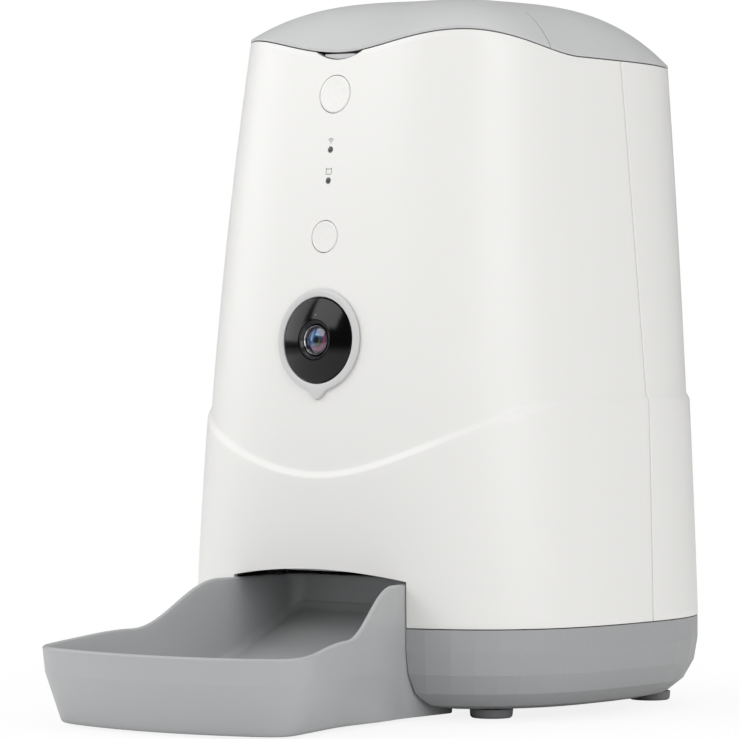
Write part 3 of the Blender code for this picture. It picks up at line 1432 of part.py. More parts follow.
def dispenser_plate():
    """Plate across the housing with the round cup that the portion wheel turns in."""
    bottom = PLATE_TOP - PLATE_THICKNESS
    turns = np.concatenate([np.linspace(0, 1, FRONT_COLUMNS), np.linspace(1, 2, REAR_COLUMNS)[1:]])
    x, y = wall(turns, PLATE_TOP, -SHELL_WALL - 2 * GAP)
    centre = wheel_centre()
    outlet = rectangle(
        (-OUTLET_HALF_WIDTH, centre - OUTLET_OUTER), (OUTLET_HALF_WIDTH, centre - OUTLET_INNER)
    )
    holes = [outlet, circle(SHAFT_RADIUS + GAP, (0, centre))]
    holes += [circle(SCREW_RADIUS + GAP, place, SMALL_STEPS // 2) for place in post_places()]
    outline = around(zip(x, y))
    obj = plate("dispenser_plate", [outline] + holes, bottom, PLATE_TOP, WHITE)
    outer = CUP_RADIUS + CUP_WALL
    foot_height = PLATE_TOP - PLATE_THICKNESS / 2
    profile = [(CUP_RADIUS, CUP_TOP), (outer, CUP_TOP), (outer, foot_height), (CUP_RADIUS, foot_height)]
    ring = turned("cup_ring", profile, None, (0, centre, 0), steps=ROUND_STEPS + SMALL_STEPS, ring=True)
    return join(obj, ring)


def portion_wheel():
    """Hub with blades and a bent stirrer rod that keeps the food moving."""
    base = PLATE_TOP + 2 * GAP
    centre = wheel_centre()
    top = base + WHEEL_HEIGHT
    bore_top = base + WHEEL_HEIGHT * HUB_BORE_SHARE
    profile = [
        (0, top),
        (HUB_RADIUS * HUB_TOP_SHARE, top),
        (HUB_RADIUS, base + WHEEL_HEIGHT * HUB_SHOULDER_SHARE),
        (HUB_RADIUS, base),
        (SHAFT_RADIUS + GAP, base),
        (SHAFT_RADIUS + GAP, bore_top),
        (0, bore_top),
    ]
    obj = turned("portion_wheel", profile, ACETAL, (0, centre, 0), steps=WHEEL_STEPS)
    blade_low = (HUB_RADIUS * BLADE_ROOT_SHARE, -BLADE_THICKNESS / 2, base)
    blade_high = (WHEEL_RADIUS, BLADE_THICKNESS / 2, base + WHEEL_HEIGHT * BLADE_HEIGHT_SHARE)
    for number in range(WHEEL_BLADES):
        turn = Matrix.Rotation((2 * number + 1) * math.pi / WHEEL_BLADES, 4, "Z")
        blade = block("blade_%d" % number, blade_low, blade_high)
        blade.matrix_basis = Matrix.Translation((0, centre, 0)) @ turn @ Matrix.Translation(blade.location)
        join(obj, blade)
    start = Vector((0, centre, top - STIRRER_SINK))
    tip = start + Vector((HUB_RADIUS, 0, STIRRER_RISE))
    rod = bar("stirrer", STIRRER_RADIUS, start, tip, steps=SMALL_STEPS // 2)
    return join(obj, rod)


def wheel_shaft():
    centre = wheel_centre()
    bottom = gear_bottom() - GEAR_PLATE_THICKNESS - GAP
    top = PLATE_TOP + WHEEL_HEIGHT * HUB_BORE_SHARE
    return bar("wheel_shaft", SHAFT_RADIUS, (0, centre, bottom), (0, centre, top), STEEL)


def portion_baffle():
    """Shield over the outlet, so that only what a pocket carries falls through."""
    centre = wheel_centre()
    bottom = THROAT_BOTTOM - GAP - BAFFLE_THICKNESS
    edge = CUP_RADIUS - GAP
    angles = np.linspace(-BAFFLE_SPREAD_SHARE, BAFFLE_SPREAD_SHARE, ARCH_STEPS) * math.pi
    outline = [(edge * math.sin(a), centre - edge * math.cos(a)) for a in angles]
    outline.append((0, centre - HUB_RADIUS / 2))
    return plate("portion_baffle", [outline], bottom, bottom + BAFFLE_THICKNESS, CLEAR_GREY)


# Gears
def gear_bottom():
    return PLATE_TOP - PLATE_THICKNESS - GEAR_PLATE_DROP + 2 * GAP


def gear_outline(teeth, phase):
    """Spur gear seen from above: each tooth is four points, narrow enough to run free in the other gear."""
    radius = GEAR_MODULE * teeth / 2
    tip = radius + TOOTH_TIP_SHARE * GEAR_MODULE
    root = radius - TOOTH_ROOT_SHARE * GEAR_MODULE
    near, far = TOOTH_TIP_HALF_SHARE, TOOTH_ROOT_HALF_SHARE
    points = []
    for tooth in range(teeth):
        middle = (tooth + phase) * 2 * math.pi / teeth
        pitch = 2 * math.pi / teeth
        for reach, share in ((root, -far), (tip, -near), (tip, near), (root, far)):
            angle = middle + share * pitch
            points.append((reach * math.cos(angle), reach * math.sin(angle)))
    return points


def pinion_centre():
    return wheel_centre() + GEAR_MODULE * (GEAR_TEETH + PINION_TEETH) / 2


def drive_gear():
    bottom = gear_bottom()
    outline = gear_outline(GEAR_TEETH, 0)
    holes = [circle(SHAFT_RADIUS + GAP)]
    reach = GEAR_MODULE * GEAR_TEETH / 4 + SHAFT_RADIUS
    for number in range(GEAR_HOLES):
        angle = number * 2 * math.pi / GEAR_HOLES
        middle = (reach * math.cos(angle), reach * math.sin(angle))
        holes.append(circle(SHAFT_RADIUS, middle, SMALL_STEPS // 2))
    obj = plate("drive_gear", [outline] + holes, bottom, bottom + GEAR_THICKNESS, ACETAL)
    obj.location.y = wheel_centre()
    return obj


def motor_pinion():
    """Small gear with its own shaft stub down into the motor. It is turned so that one of its gaps faces the
    large gear's tooth on the line between the two centres."""
    bottom = gear_bottom()
    outline = gear_outline(PINION_TEETH, (GEAR_TEETH + 3 * PINION_TEETH + 2) / 4)
    obj = plate("motor_pinion", [outline], bottom, bottom + GEAR_THICKNESS, ACETAL)
    obj.location.y = pinion_centre()
    radius = SHAFT_RADIUS / 2
    start = (0, pinion_centre(), bottom - MOTOR_NOSE)
    end = (0, pinion_centre(), bottom + GEAR_THICKNESS / 2)
    stub = bar("pinion_stub", radius, start, end, steps=SMALL_STEPS // 2)
    return join(obj, stub)


def gear_plate():
    """Plate under the gears, hung from the dispenser plate by four posts, for the shaft and the motor."""
    top = gear_bottom() - GAP
    bottom = top - GEAR_PLATE_THICKNESS
    front = wheel_centre() - GEAR_MODULE * GEAR_TEETH / 2 - GEAR_PLATE_MARGIN
    rear = pinion_centre() + MOTOR_RADIUS + GEAR_POST_RADIUS
    half = GEAR_PLATE_HALF_WIDTH
    outline = rectangle((-half, front), (half, rear))
    holes = [circle(SHAFT_RADIUS + GAP, (0, wheel_centre())), circle(MOTOR_NOSE + GAP, (0, pinion_centre()))]
    obj = plate("gear_plate", [outline] + holes, bottom, top, BASE_GREY)
    for number, (x, y) in enumerate(gear_posts(half, front, rear)):
        start = (x, y, (top + bottom) / 2)
        end = (x, y, PLATE_TOP - PLATE_THICKNESS - GAP)
        join(obj, bar("gear_post_%d" % number, GEAR_POST_RADIUS, start, end, steps=SMALL_STEPS // 2))
    return obj


def gear_posts(half, front, rear):
    edge = GEAR_POST_RADIUS + GAP
    return [(side * (half - edge), y) for side in (-1, 1) for y in (front + edge, rear - edge)]


def motor():
    """Can of the motor with its nose up through the gear plate."""
    top = gear_bottom() - GEAR_PLATE_THICKNESS - 2 * GAP
    nose_top = gear_bottom() - GAP
    bore = SHAFT_RADIUS / 2 + GAP
    edge = MOTOR_EDGE
    profile = [
        (0, nose_top - MOTOR_BORE_DEPTH),
        (bore, nose_top - MOTOR_BORE_DEPTH),
        (bore, nose_top),
        (MOTOR_NOSE, nose_top),
        (MOTOR_NOSE, top),
        (MOTOR_RADIUS - edge, top),
        (MOTOR_RADIUS, top - edge),
        (MOTOR_RADIUS, top - MOTOR_LENGTH + edge),
        (MOTOR_RADIUS - edge, top - MOTOR_LENGTH),
        (0, top - MOTOR_LENGTH),
    ]
    return turned("motor", profile, STEEL, (0, pinion_centre(), 0), steps=MEDIUM_STEPS)


def outlet_chute():
    """Sloping duct from the outlet down to the tray, wider at its lower end."""
    centre = wheel_centre()
    top = PLATE_TOP - PLATE_THICKNESS - GAP
    half = OUTLET_HALF_WIDTH + CHUTE_WALL + GAP
    front = centre - OUTLET_OUTER - CHUTE_WALL - GAP
    back = centre - OUTLET_INNER + CHUTE_WALL + GAP
    upper = [(-half, front, top), (half, front, top), (half, back, top), (-half, back, top)]
    wide = CHUTE_END_HALF_WIDTH + CHUTE_WALL
    low_front = AXIS_Y - CHUTE_END_FRONT
    low_back = AXIS_Y - CHUTE_END_BACK
    low = CHUTE_END_HEIGHT
    lower = [(-wide, low_front, low), (wide, low_front, low), (wide, low_back, low), (-wide, low_back, low)]
    neck = [(x, y, top - CHUTE_NECK) for x, y, _ in upper]
    obj = loft("outlet_chute", [lower, neck, upper], CLEAR_GREY, closed=True)
    return thicken(obj, CHUTE_WALL)


def plate_screw(name, x, y):
    base = PLATE_TOP + GAP
    profile = [
        (0, base + SCREW_HEAD),
        (SCREW_HEAD_RADIUS * SCREW_TOP_SHARE, base + SCREW_HEAD),
        (SCREW_HEAD_RADIUS, base + SCREW_HEAD / 2),
        (SCREW_HEAD_RADIUS, base),
        (SCREW_RADIUS, base),
        (SCREW_RADIUS, base - SCREW_LENGTH + SCREW_HEAD),
        (0, base - SCREW_LENGTH),
    ]
    return turned(name, profile, STEEL, (x, y, 0), steps=SMALL_STEPS // 2)


# Camera
def camera_tilt():
    return math.pi / 2 - front_tilt(CAMERA_HEIGHT)


def camera_place():
    return (0, front_face(CAMERA_HEIGHT), CAMERA_HEIGHT)


def on_camera(obj):
    """Lays a flat piece square to the camera's line of sight, with its heights measured out from the wall."""
    height = obj.location.z
    turn = Matrix.Rotation(camera_tilt(), 4, "X")
    obj.matrix_world = Matrix.Translation(camera_place()) @ turn @ Matrix.Translation((0, 0, height))
    return obj


def camera_bezel():
    """Ring round the camera, drawn out to a blunt tip below."""
    points = []
    for angle in np.linspace(-math.pi, math.pi, BEZEL_STEPS + 1)[:-1]:
        away = 1 - abs(angle) / math.radians(BEZEL_TIP_DEGREES)
        reach = BEZEL_RADIUS + (BEZEL_TIP - BEZEL_RADIUS) * ease(away) ** BEZEL_TIP_POWER_SHARE
        points.append((reach * math.sin(angle), -reach * math.cos(angle)))
    inner = circle(WINDOW_RADIUS + GAP, steps=ROUND_STEPS + SMALL_STEPS)
    obj = plate("camera_bezel", [points, inner], 2 * GAP, BEZEL_PROUD, BEZEL_GREY)
    return on_camera(obj)


def camera_window():
    """Domed black cover with a hole for the lens, and a collar back through the wall."""
    hole = LENS_RING_RADIUS + GAP
    radius = WINDOW_RADIUS
    profile = [(hole, WINDOW_PROUD)]
    dome = WINDOW_PROUD - WINDOW_RIM
    profile += [(radius * across, WINDOW_RIM + dome * up) for across, up in WINDOW_ROW_SHARES]
    profile += [(radius, WINDOW_RIM), (radius, -WINDOW_DEPTH), (hole, -WINDOW_DEPTH)]
    place = camera_place()
    return turned("camera_window", profile, GLOSS_BLACK, place, camera_tilt(), WINDOW_STEPS, ring=True)


def lens_ring():
    inner = LENS_RADIUS + GAP
    outer = LENS_RING_RADIUS
    profile = [
        ((outer + inner) / 2, WINDOW_PROUD),
        (outer, WINDOW_PROUD),
        (outer, -WINDOW_DEPTH),
        (inner, -WINDOW_DEPTH),
        (inner, WINDOW_PROUD - 3 * LENS_RING_CHAMFER),
    ]
    return turned("lens_ring", profile, GLOSS_BLACK, camera_place(), camera_tilt(), ROUND_STEPS, ring=True)


def camera_lens():
    radius = LENS_RADIUS
    crown = LENS_CROWN
    angles = np.linspace(0, math.pi / 2, 5)[1:]
    profile = [(0, crown / 2)]
    profile += [(radius * math.sin(a), crown * math.cos(a) - crown / 2) for a in angles]
    profile += [(radius, -WINDOW_DEPTH), (0, -WINDOW_DEPTH)]
    return turned("camera_lens", profile, GLASS, camera_place(), camera_tilt(), ROUND_STEPS)


def camera_block(name, size, top, finish):
    """Box behind the camera's window, its top at a depth behind the wall's outer face."""
    half = Vector(size) / 2
    obj = block(name, (-half.x, -half.y, top - size[2]), (half.x, half.y, top), finish)
    return on_camera(obj)


def camera_module():
    return camera_block("camera_module", CAMERA_MODULE, -WINDOW_DEPTH - GAP, DARK)


def camera_board():
    top = -WINDOW_DEPTH - GAP - CAMERA_MODULE[2] - GAP
    return camera_block("camera_board", CAMERA_BOARD, top, BOARD_GREEN)


# Buttons, lights and their board
def push_button(name, radius, height):
    """Button flush with the wall, with a flange behind it and a stem towards its switch."""
    back = -SHELL_WALL - 2 * GAP
    flange = radius + BUTTON_FLANGE
    stem_end = back - BUTTON_FLANGE - BUTTON_STEM
    profile = [
        (0, GAP),
        (radius - 2 * GAP, 0),
        (radius, -2 * GAP),
        (radius, back),
        (flange, back),
        (flange, back - BUTTON_FLANGE),
        (BUTTON_STEM, back - BUTTON_FLANGE),
        (BUTTON_STEM, stem_end),
        (0, stem_end),
    ]
    tilt = front_tilt(height)
    return turned(name, profile, WHITE, (0, front_face(height), height), math.pi / 2 - tilt)


def tact_switch(name, height):
    middle, tilt = board_line()
    inward = Vector((0, math.cos(tilt), -math.sin(tilt)))
    button = Vector((0, front_face(height), height))
    top = -(middle - button).dot(inward) + GAP + SWITCH[2]
    half = Vector(SWITCH) / 2
    obj = block(name, (-half.x, -half.y, top - SWITCH[2]), (half.x, half.y, top), DARK)
    turn = Matrix.Rotation(math.pi / 2 - tilt, 4, "X")
    obj.matrix_world = Matrix.Translation(button) @ turn @ Matrix.Translation(obj.location)
    return obj


def light_pipe(name, height):
    middle, tilt = board_line()
    inward = Vector((0, math.cos(tilt), -math.sin(tilt)))
    start = Vector((0, front_face(height), height))
    length = (middle - start).dot(inward) - GAP
    return bar(name, LIGHT_RADIUS, start, start + inward * length, LIGHT_PIPE, SMALL_STEPS // 2)


def button_board():
    middle, tilt = board_line()
    half_x = BUTTON_BOARD_WIDTH / 2
    half_z = BUTTON_BOARD_LENGTH / 2
    obj = block("button_board", (-half_x, -half_z, -BOARD_THICKNESS), (half_x, half_z, 0), BOARD_GREEN)
    turn = Matrix.Rotation(math.pi / 2 - tilt, 4, "X")
    obj.matrix_world = Matrix.Translation(middle) @ turn @ Matrix.Translation(obj.location)
    return obj


# Electronics at the rear
def main_board_corners():
    x = MAIN_BOARD[0] / 2 - 2 * BOSS_RADIUS
    rise = MAIN_BOARD[1] / 2 - 2 * BOSS_RADIUS
    return [(side * x, MAIN_BOARD_HEIGHT + up * rise) for side in (-1, 1) for up in (-1, 1)]


def main_board_boss(number, x, height):
    """Boss from the rear shell's wall to the board."""
    share = abs(x) / float(parabola(height, HALF_WIDTHS))
    rear = float(parabola(height, REAR_DEPTHS)) * (1 - share ** REAR_CORNER_SHARE) ** (1 / REAR_CORNER_SHARE)
    start = (x, AXIS_Y + MAIN_BOARD_BEHIND + BOARD_THICKNESS + GAP, height)
    end = (x, AXIS_Y + rear - SHELL_WALL / 2, height)
    return bar("main_board_boss_%d" % number, BOSS_RADIUS, start, end, steps=SMALL_STEPS // 2)


def main_board():
    y = AXIS_Y + MAIN_BOARD_BEHIND
    half_x = MAIN_BOARD[0] / 2
    half_z = MAIN_BOARD[1] / 2
    low = (-half_x, y, MAIN_BOARD_HEIGHT - half_z)
    return block("main_board", low, (half_x, y + BOARD_THICKNESS, MAIN_BOARD_HEIGHT + half_z), BOARD_GREEN)


def speaker():
    """Round speaker that sits behind the grille: its frame touches the curved wall at its two sides."""
    radius = SPEAKER_RADIUS
    share = radius / float(parabola(SPEAKER_HEIGHT, HALF_WIDTHS))
    depth = float(parabola(SPEAKER_HEIGHT, REAR_DEPTHS))
    rear = depth * (1 - share ** REAR_CORNER_SHARE) ** (1 / REAR_CORNER_SHARE)
    face = AXIS_Y + rear - SHELL_WALL - 2 * GAP
    rim = SPEAKER_RIM
    basket, depth_share = SPEAKER_BASKET_SHARES
    magnet = radius * SPEAKER_MAGNET_SHARE
    profile = [
        (0, -rim),
        (radius * SPEAKER_CAP_SHARE, -rim),
        (radius * SPEAKER_CONE_SHARE, -rim / 2),
        (radius * SPEAKER_EDGE_SHARE, 0),
        (radius, 0),
        (radius, -rim),
        (radius * basket, -SPEAKER_DEPTH * depth_share),
        (magnet, -SPEAKER_DEPTH * depth_share),
        (magnet, -SPEAKER_DEPTH),
        (0, -SPEAKER_DEPTH),
    ]
    return turned("speaker", profile, DARK, (0, face, SPEAKER_HEIGHT), -math.pi / 2, MEDIUM_STEPS)


def power_socket():
    """Round socket for a mains adaptor's plug: a nose through the wall with a bore and a centre pin."""
    wall_out = rear_face(SOCKET_HEIGHT) + WAVE_STEP
    depth = SOCKET_BODY[1]
    nose_top = -SEAM_GAP
    body_top = -SHELL_WALL - 3 * SEAM_GAP
    bore_end = nose_top - depth * SOCKET_BORE_SHARE
    profile = [
        (0, nose_top - depth * SOCKET_PIN_SHARE),
        (SOCKET_PIN, nose_top - depth * SOCKET_PIN_SHARE),
        (SOCKET_PIN, bore_end),
        (SOCKET_BORE, bore_end),
        (SOCKET_BORE, nose_top),
        (SOCKET_NOSE, nose_top),
        (SOCKET_NOSE, body_top),
        (SOCKET_BODY[0] / 2, body_top),
        (SOCKET_BODY[0] / 2, body_top - depth),
        (0, body_top - depth),
    ]
    return turned("power_socket", profile, DARK, (0, wall_out, SOCKET_HEIGHT), -math.pi / 2, SMALL_STEPS)


def hinged_pieces():
    """The pieces of each body that turns, hung from an empty on its axis, the latch and cover too."""
    lid = [lid_flap(), lid_liner(), lid_seal(), desiccant_box()]
    lid += [latch_spring(), latch_button(), desiccant_cover()]
    axis_empty("lid_axis", hinge_point(), *lid)
    axis_empty("wheel_axis", (0, wheel_centre(), PLATE_TOP), portion_wheel(), wheel_shaft(), drive_gear())


def build():
    front_shell()
    rear_shell()
    base_housing()
    feet = {
        "foot_front_left": (-FOOT_X, -FOOT_FRONT),
        "foot_front_right": (FOOT_X, -FOOT_FRONT),
        "foot_rear_left": (-FOOT_X, FOOT_REAR),
        "foot_rear_right": (FOOT_X, FOOT_REAR),
    }
    for name, (x, y) in feet.items():
        foot(name, x, AXIS_Y + y)
    battery_box()
    battery_door()
    battery_contact("battery_contact_front", -1)
    battery_contact("battery_contact_rear", 1)
    food_tray()
    tray_guide()
    lid_rear_cap()
    hinge_pin()
    hinged_pieces()
    fill_deck()
    hopper()
    dispenser_plate()
    for number, (x, y) in enumerate(post_places()):
        plate_screw("plate_screw_%d" % (number + 1), x, y)
    portion_baffle()
    motor_pinion()
    gear_plate()
    motor()
    outlet_chute()
    camera_bezel()
    camera_window()
    lens_ring()
    camera_lens()
    camera_module()
    camera_board()
    push_button("feed_button", FEED_BUTTON_RADIUS, FEED_BUTTON_HEIGHT)
    push_button("settings_button", SETTINGS_BUTTON_RADIUS, SETTINGS_BUTTON_HEIGHT)
    tact_switch("feed_switch", FEED_BUTTON_HEIGHT)
    tact_switch("settings_switch", SETTINGS_BUTTON_HEIGHT)
    light_pipe("network_light", LIGHT_HEIGHTS[0])
    light_pipe("food_light", LIGHT_HEIGHTS[1])
    button_board()
    main_board()
    speaker()
    power_socket()


build()
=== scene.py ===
"""Looks for the pet feeder with a camera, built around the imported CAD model.

Metres, +Z up, the front faces -Y. Each dressed surface is worked out from the sizes that the solids have.
"""
import math

import bpy
import bmesh
import numpy as np
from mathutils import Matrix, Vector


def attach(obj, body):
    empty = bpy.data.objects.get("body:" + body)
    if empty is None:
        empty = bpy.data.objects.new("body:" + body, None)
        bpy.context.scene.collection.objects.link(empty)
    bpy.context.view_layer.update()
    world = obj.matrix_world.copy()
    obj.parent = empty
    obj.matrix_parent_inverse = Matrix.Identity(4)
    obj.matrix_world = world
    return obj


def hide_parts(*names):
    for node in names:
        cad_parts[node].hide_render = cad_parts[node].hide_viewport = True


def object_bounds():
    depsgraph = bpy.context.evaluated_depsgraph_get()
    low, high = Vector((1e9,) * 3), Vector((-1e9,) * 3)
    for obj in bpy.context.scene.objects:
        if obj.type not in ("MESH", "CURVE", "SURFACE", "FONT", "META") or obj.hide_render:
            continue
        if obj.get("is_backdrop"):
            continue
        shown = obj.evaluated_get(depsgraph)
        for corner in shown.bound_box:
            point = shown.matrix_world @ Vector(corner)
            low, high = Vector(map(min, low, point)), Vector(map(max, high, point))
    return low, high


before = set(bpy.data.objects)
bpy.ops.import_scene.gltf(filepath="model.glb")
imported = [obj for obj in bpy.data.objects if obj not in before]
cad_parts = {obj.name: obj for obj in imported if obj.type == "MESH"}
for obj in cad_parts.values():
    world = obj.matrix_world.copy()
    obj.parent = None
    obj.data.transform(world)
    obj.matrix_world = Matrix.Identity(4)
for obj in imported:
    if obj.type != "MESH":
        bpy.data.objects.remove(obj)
CAD_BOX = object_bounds()

# Housing: half width, front and rear depth of its outline at three levels, and the powers of its curves
LEVELS = (0.04725, 0.1575, 0.3045)
HALF_WIDTHS = (0.1002, 0.0905, 0.0765)
FRONT_DEPTHS = (0.0983, 0.0962, 0.0790)
REAR_DEPTHS = (0.0916, 0.0974, 0.0982)
FRONT_POWER = 3.05
REAR_POWER = 2.48
AXIS_Y = 0.0588125
BASE_TOP = 0.0386
GAP = 0.0003
SEAM = 0.0004
WALL = 0.0024

# The wave along the front shell and the seam between the shells
WAVE_LOW, WAVE_HIGH, WAVE_STEP, WAVE_CHAMFER = 0.1000, 0.1318, 0.0013, 0.0036
WAVE_REACH = 68 / 180
SEAM_BEHIND, SEAM_SWEEP = 0.003, 0.0086
FIXED_TURN = 0.8
REAR_COLUMNS = 80

# Top edge of the housing, and the lid above it
EDGE_FRONT, EDGE_SIDE, EDGE_REAR = 0.2796, 0.2780, 0.2750
EDGE_PEAK_RIGHT, EDGE_PEAK_LEFT = 0.2884, 0.2868
PEAK_HEADING, SIDE_HEADING = 38.5 / 180, 78.5 / 180
LID_TOP, LID_LIP, LID_WALL, LID_POWER = 0.3049, 0.0010, 0.0022, 3.45
LID_CENTRE = AXIS_Y + 0.003
HINGE_Y = AXIS_Y - 0.012
HINGE_DEPTH = 0.0033
PARTING_SWEEP, PARTING_SHIFT = 0.042, 0.0003
NOTCH_HALF, NOTCH_AHEAD, NOTCH_BEHIND = 0.0316, 0.0026, 0.0036
KNUCKLE_RADIUS, KNUCKLE_SPLIT, KNUCKLE_END = 0.0020, 0.0125, 0.0310

# Openings and fittings of the front and the rear
ARCH_HALF, ARCH_SPRING, ARCH_RISE = 0.0464, 0.0582, 0.0040
SCOOP_HALF, SCOOP_DEPTH, TAB_HALF = 0.0112, 0.0028, 0.0080
SCOOP_RADIUS = (SCOOP_HALF ** 2 + SCOOP_DEPTH ** 2) / (2 * SCOOP_DEPTH)
FEED_BUTTON, SETTINGS_BUTTON, CAMERA = 0.2622, 0.2020, 0.1583
FEED_RADIUS, SETTINGS_RADIUS, CAMERA_RADIUS = 0.0080, 0.0067, 0.0184
NETWORK_LIGHT, FOOD_LIGHT, LIGHT_RADIUS = 0.23872, 0.22560, 0.0011
BEZEL_RADIUS, BEZEL_POINT, BEZEL_POINT_ANGLE = 0.0216, 0.0034, math.radians(16)
WINDOW_RADIUS, WINDOW_HOLE, WINDOW_RIM, WINDOW_PROUD = 0.0181, 0.0086, 0.0011, 0.0037
GLASS_RADIUS, FITTING_BACK = 0.0055, -0.006
GRILLE, GRILLE_RADIUS, SLOT_PITCH, SLOT_WIDTH = 0.216, 0.012, 0.0034, 0.0016
SOCKET, SOCKET_RADIUS = 0.058, 0.0049

# Tray, measured forwards from the axis
TRAY_REACH, TRAY_BULGE, CORNER_X, CORNER_BACK, TRAY_FAN = 0.2163, 0.0082, 0.050, 0.181, 0.255
NECK, NECK_FRONT, NECK_BACK, NECK_CORNER, BACK_CORNER = 0.0457, 0.0985, 0.056, 0.0048, 0.009
RIM_FRONT, RIM_STEP, RIM_MIDDLE, RIM_NECK = 0.0330, 0.0045, 0.0375, 0.0572
RISE_FRONT, RISE_MIDDLE, RISE_BACK = 0.200, 0.150, 0.106
TRAY_GAP, TRAY_FLOOR, FLOOR_TOP, FLOOR_RISE = 0.0012, 0.0028, 0.0040, 0.039
RAMP_START, LIP_RADIUS, FLOOR_ROUND = 0.145, 0.0011, 0.0035
CREASE, CREASE_INSET, TRAY_TAPER, NECK_STRAIGHTENS = 0.022, 0.0012, 0.0081, 0.85
FOOT_RADIUS, FOOT_TOP = 0.0092, 0.0039


# Shape helpers
def parabola(height, sizes):
    """The parabola through a size at each of the three levels."""
    low, middle, top = LEVELS
    share_low = (height - middle) * (height - top) / ((low - middle) * (low - top))
    share_middle = (height - low) * (height - top) / ((middle - low) * (middle - top))
    share_top = (height - low) * (height - middle) / ((top - low) * (top - middle))
    return share_low * sizes[0] + share_middle * sizes[1] + share_top * sizes[2]


def ease(share):
    """Half a cosine wave from 0 to 1."""
    return (1 - np.cos(math.pi * np.clip(share, 0, 1))) / 2


def wall(turn, height, out=0.0):
    """Squared oval: x is the half width times a power of the sine, y a depth times a power of the cosine.

    A turn of 0 is the front, 1 or -1 the sides, 2 or -2 the rear.
    """
    turn = np.asarray(turn, float)
    size = np.abs(turn)
    half = parabola(height, HALF_WIDTHS) + out
    front = parabola(height, FRONT_DEPTHS) + out
    rear = parabola(height, REAR_DEPTHS) + out
    angle = np.where(size <= 1, size, size - 1) * math.pi / 2
    sine, cosine = np.abs(np.sin(angle)), np.abs(np.cos(angle))
    ahead = size <= 1
    x = half * np.where(ahead, sine ** (2 / FRONT_POWER), cosine ** (2 / REAR_POWER))
    y = np.where(ahead, -front * cosine ** (2 / FRONT_POWER), rear * sine ** (2 / REAR_POWER))
    return np.where(size >= 2, 0.0, np.sign(turn) * x), y + AXIS_Y


def heading(turn):
    """Angle from straight ahead, as a share of half a circle."""
    x, y = wall(np.abs(turn), WAVE_HIGH)
    return np.arctan2(x, -(y - AXIS_Y)) / math.pi


def wave(turn):
    """Crest of the wave: eased up from the front to the sides."""
    return WAVE_LOW + (WAVE_HIGH - WAVE_LOW) * ease(heading(turn) / WAVE_REACH)


def top_edge(turn):
    """Top edge: eased up to a peak at each front corner, eased down to the side, and straight behind."""
    share = heading(turn)
    peak = np.where(np.asarray(turn) < 0, EDGE_PEAK_LEFT, EDGE_PEAK_RIGHT)
    rising = EDGE_FRONT + (peak - EDGE_FRONT) * ease(share / PEAK_HEADING)
    falling = peak - (peak - EDGE_SIDE) * ease((share - PEAK_HEADING) / (SIDE_HEADING - PEAK_HEADING))
    behind = EDGE_SIDE - (EDGE_SIDE - EDGE_REAR) * (share - SIDE_HEADING) / (1 - SIDE_HEADING)
    return np.where(share < PEAK_HEADING, rising, np.where(share < SIDE_HEADING, falling, behind))


def seam_turn(height, shift, out=0.0):
    """Turn of the seam between the shells: it sweeps back evenly from the base to the wave, and then stays."""
    share = np.clip((height - BASE_TOP) / (WAVE_HIGH - BASE_TOP), 0, 1)
    behind = SEAM_BEHIND + SEAM_SWEEP * share + shift
    return 1 + np.arcsin((behind / (parabola(height, REAR_DEPTHS) + out)) ** (REAR_POWER / 2)) * 2 / math.pi


def even_turns(first, last, count):
    """Turns at even steps along the outline."""
    dense = np.linspace(0, 1, 3001)
    dense = dense * dense * (3 - 2 * dense)
    turns = np.concatenate([dense, 1 + dense[1:]])
    x, y = wall(turns, WAVE_HIGH)
    length = np.concatenate([[0], np.cumsum(np.hypot(np.diff(x), np.diff(y)))])
    picks = np.linspace(np.interp(first, turns, length), np.interp(last, turns, length), count)
    return np.interp(picks, length, turns)


def front_y(x, height):
    """Y of the housing's front surface at a place."""
    share = np.abs(x) / parabola(height, HALF_WIDTHS)
    return AXIS_Y - parabola(height, FRONT_DEPTHS) * (1 - share ** FRONT_POWER) ** (1 / FRONT_POWER)


def front_tilt(height):
    return math.atan((float(front_y(0, height + 0.0013)) - float(front_y(0, height - 0.0013))) / 0.0026)


RIM_TURNS = np.concatenate([even_turns(0, 1, 300), even_turns(1, 2, 300)[1:]])


def rim_of(side):
    """Angle, distance and height of the lid's rim along one side, seen from the dome's centre."""
    edge = top_edge(side * RIM_TURNS)
    x, y = wall(RIM_TURNS, edge)
    return np.arctan2(x, -(y - LID_CENTRE)), np.hypot(x, y - LID_CENTRE), edge


RIMS = {side: rim_of(side) for side in (-1, 1)}


def lid_height(x, y):
    """Dome: one less the share of the way out to the rim, raised to 3.45, times the rise above the rim."""
    angle = np.arctan2(np.abs(x), -(y - LID_CENTRE))
    found = []
    for side in (-1, 1):
        angles, reaches, edges = RIMS[side]
        share = np.hypot(x, y - LID_CENTRE) / np.interp(angle, angles, reaches)
        start = np.interp(angle, angles, edges) + SEAM + LID_LIP
        found.append(start + (LID_TOP - start) * (1 - np.clip(share, 0, 1) ** LID_POWER))
    return np.where(x < 0, found[0], found[1])


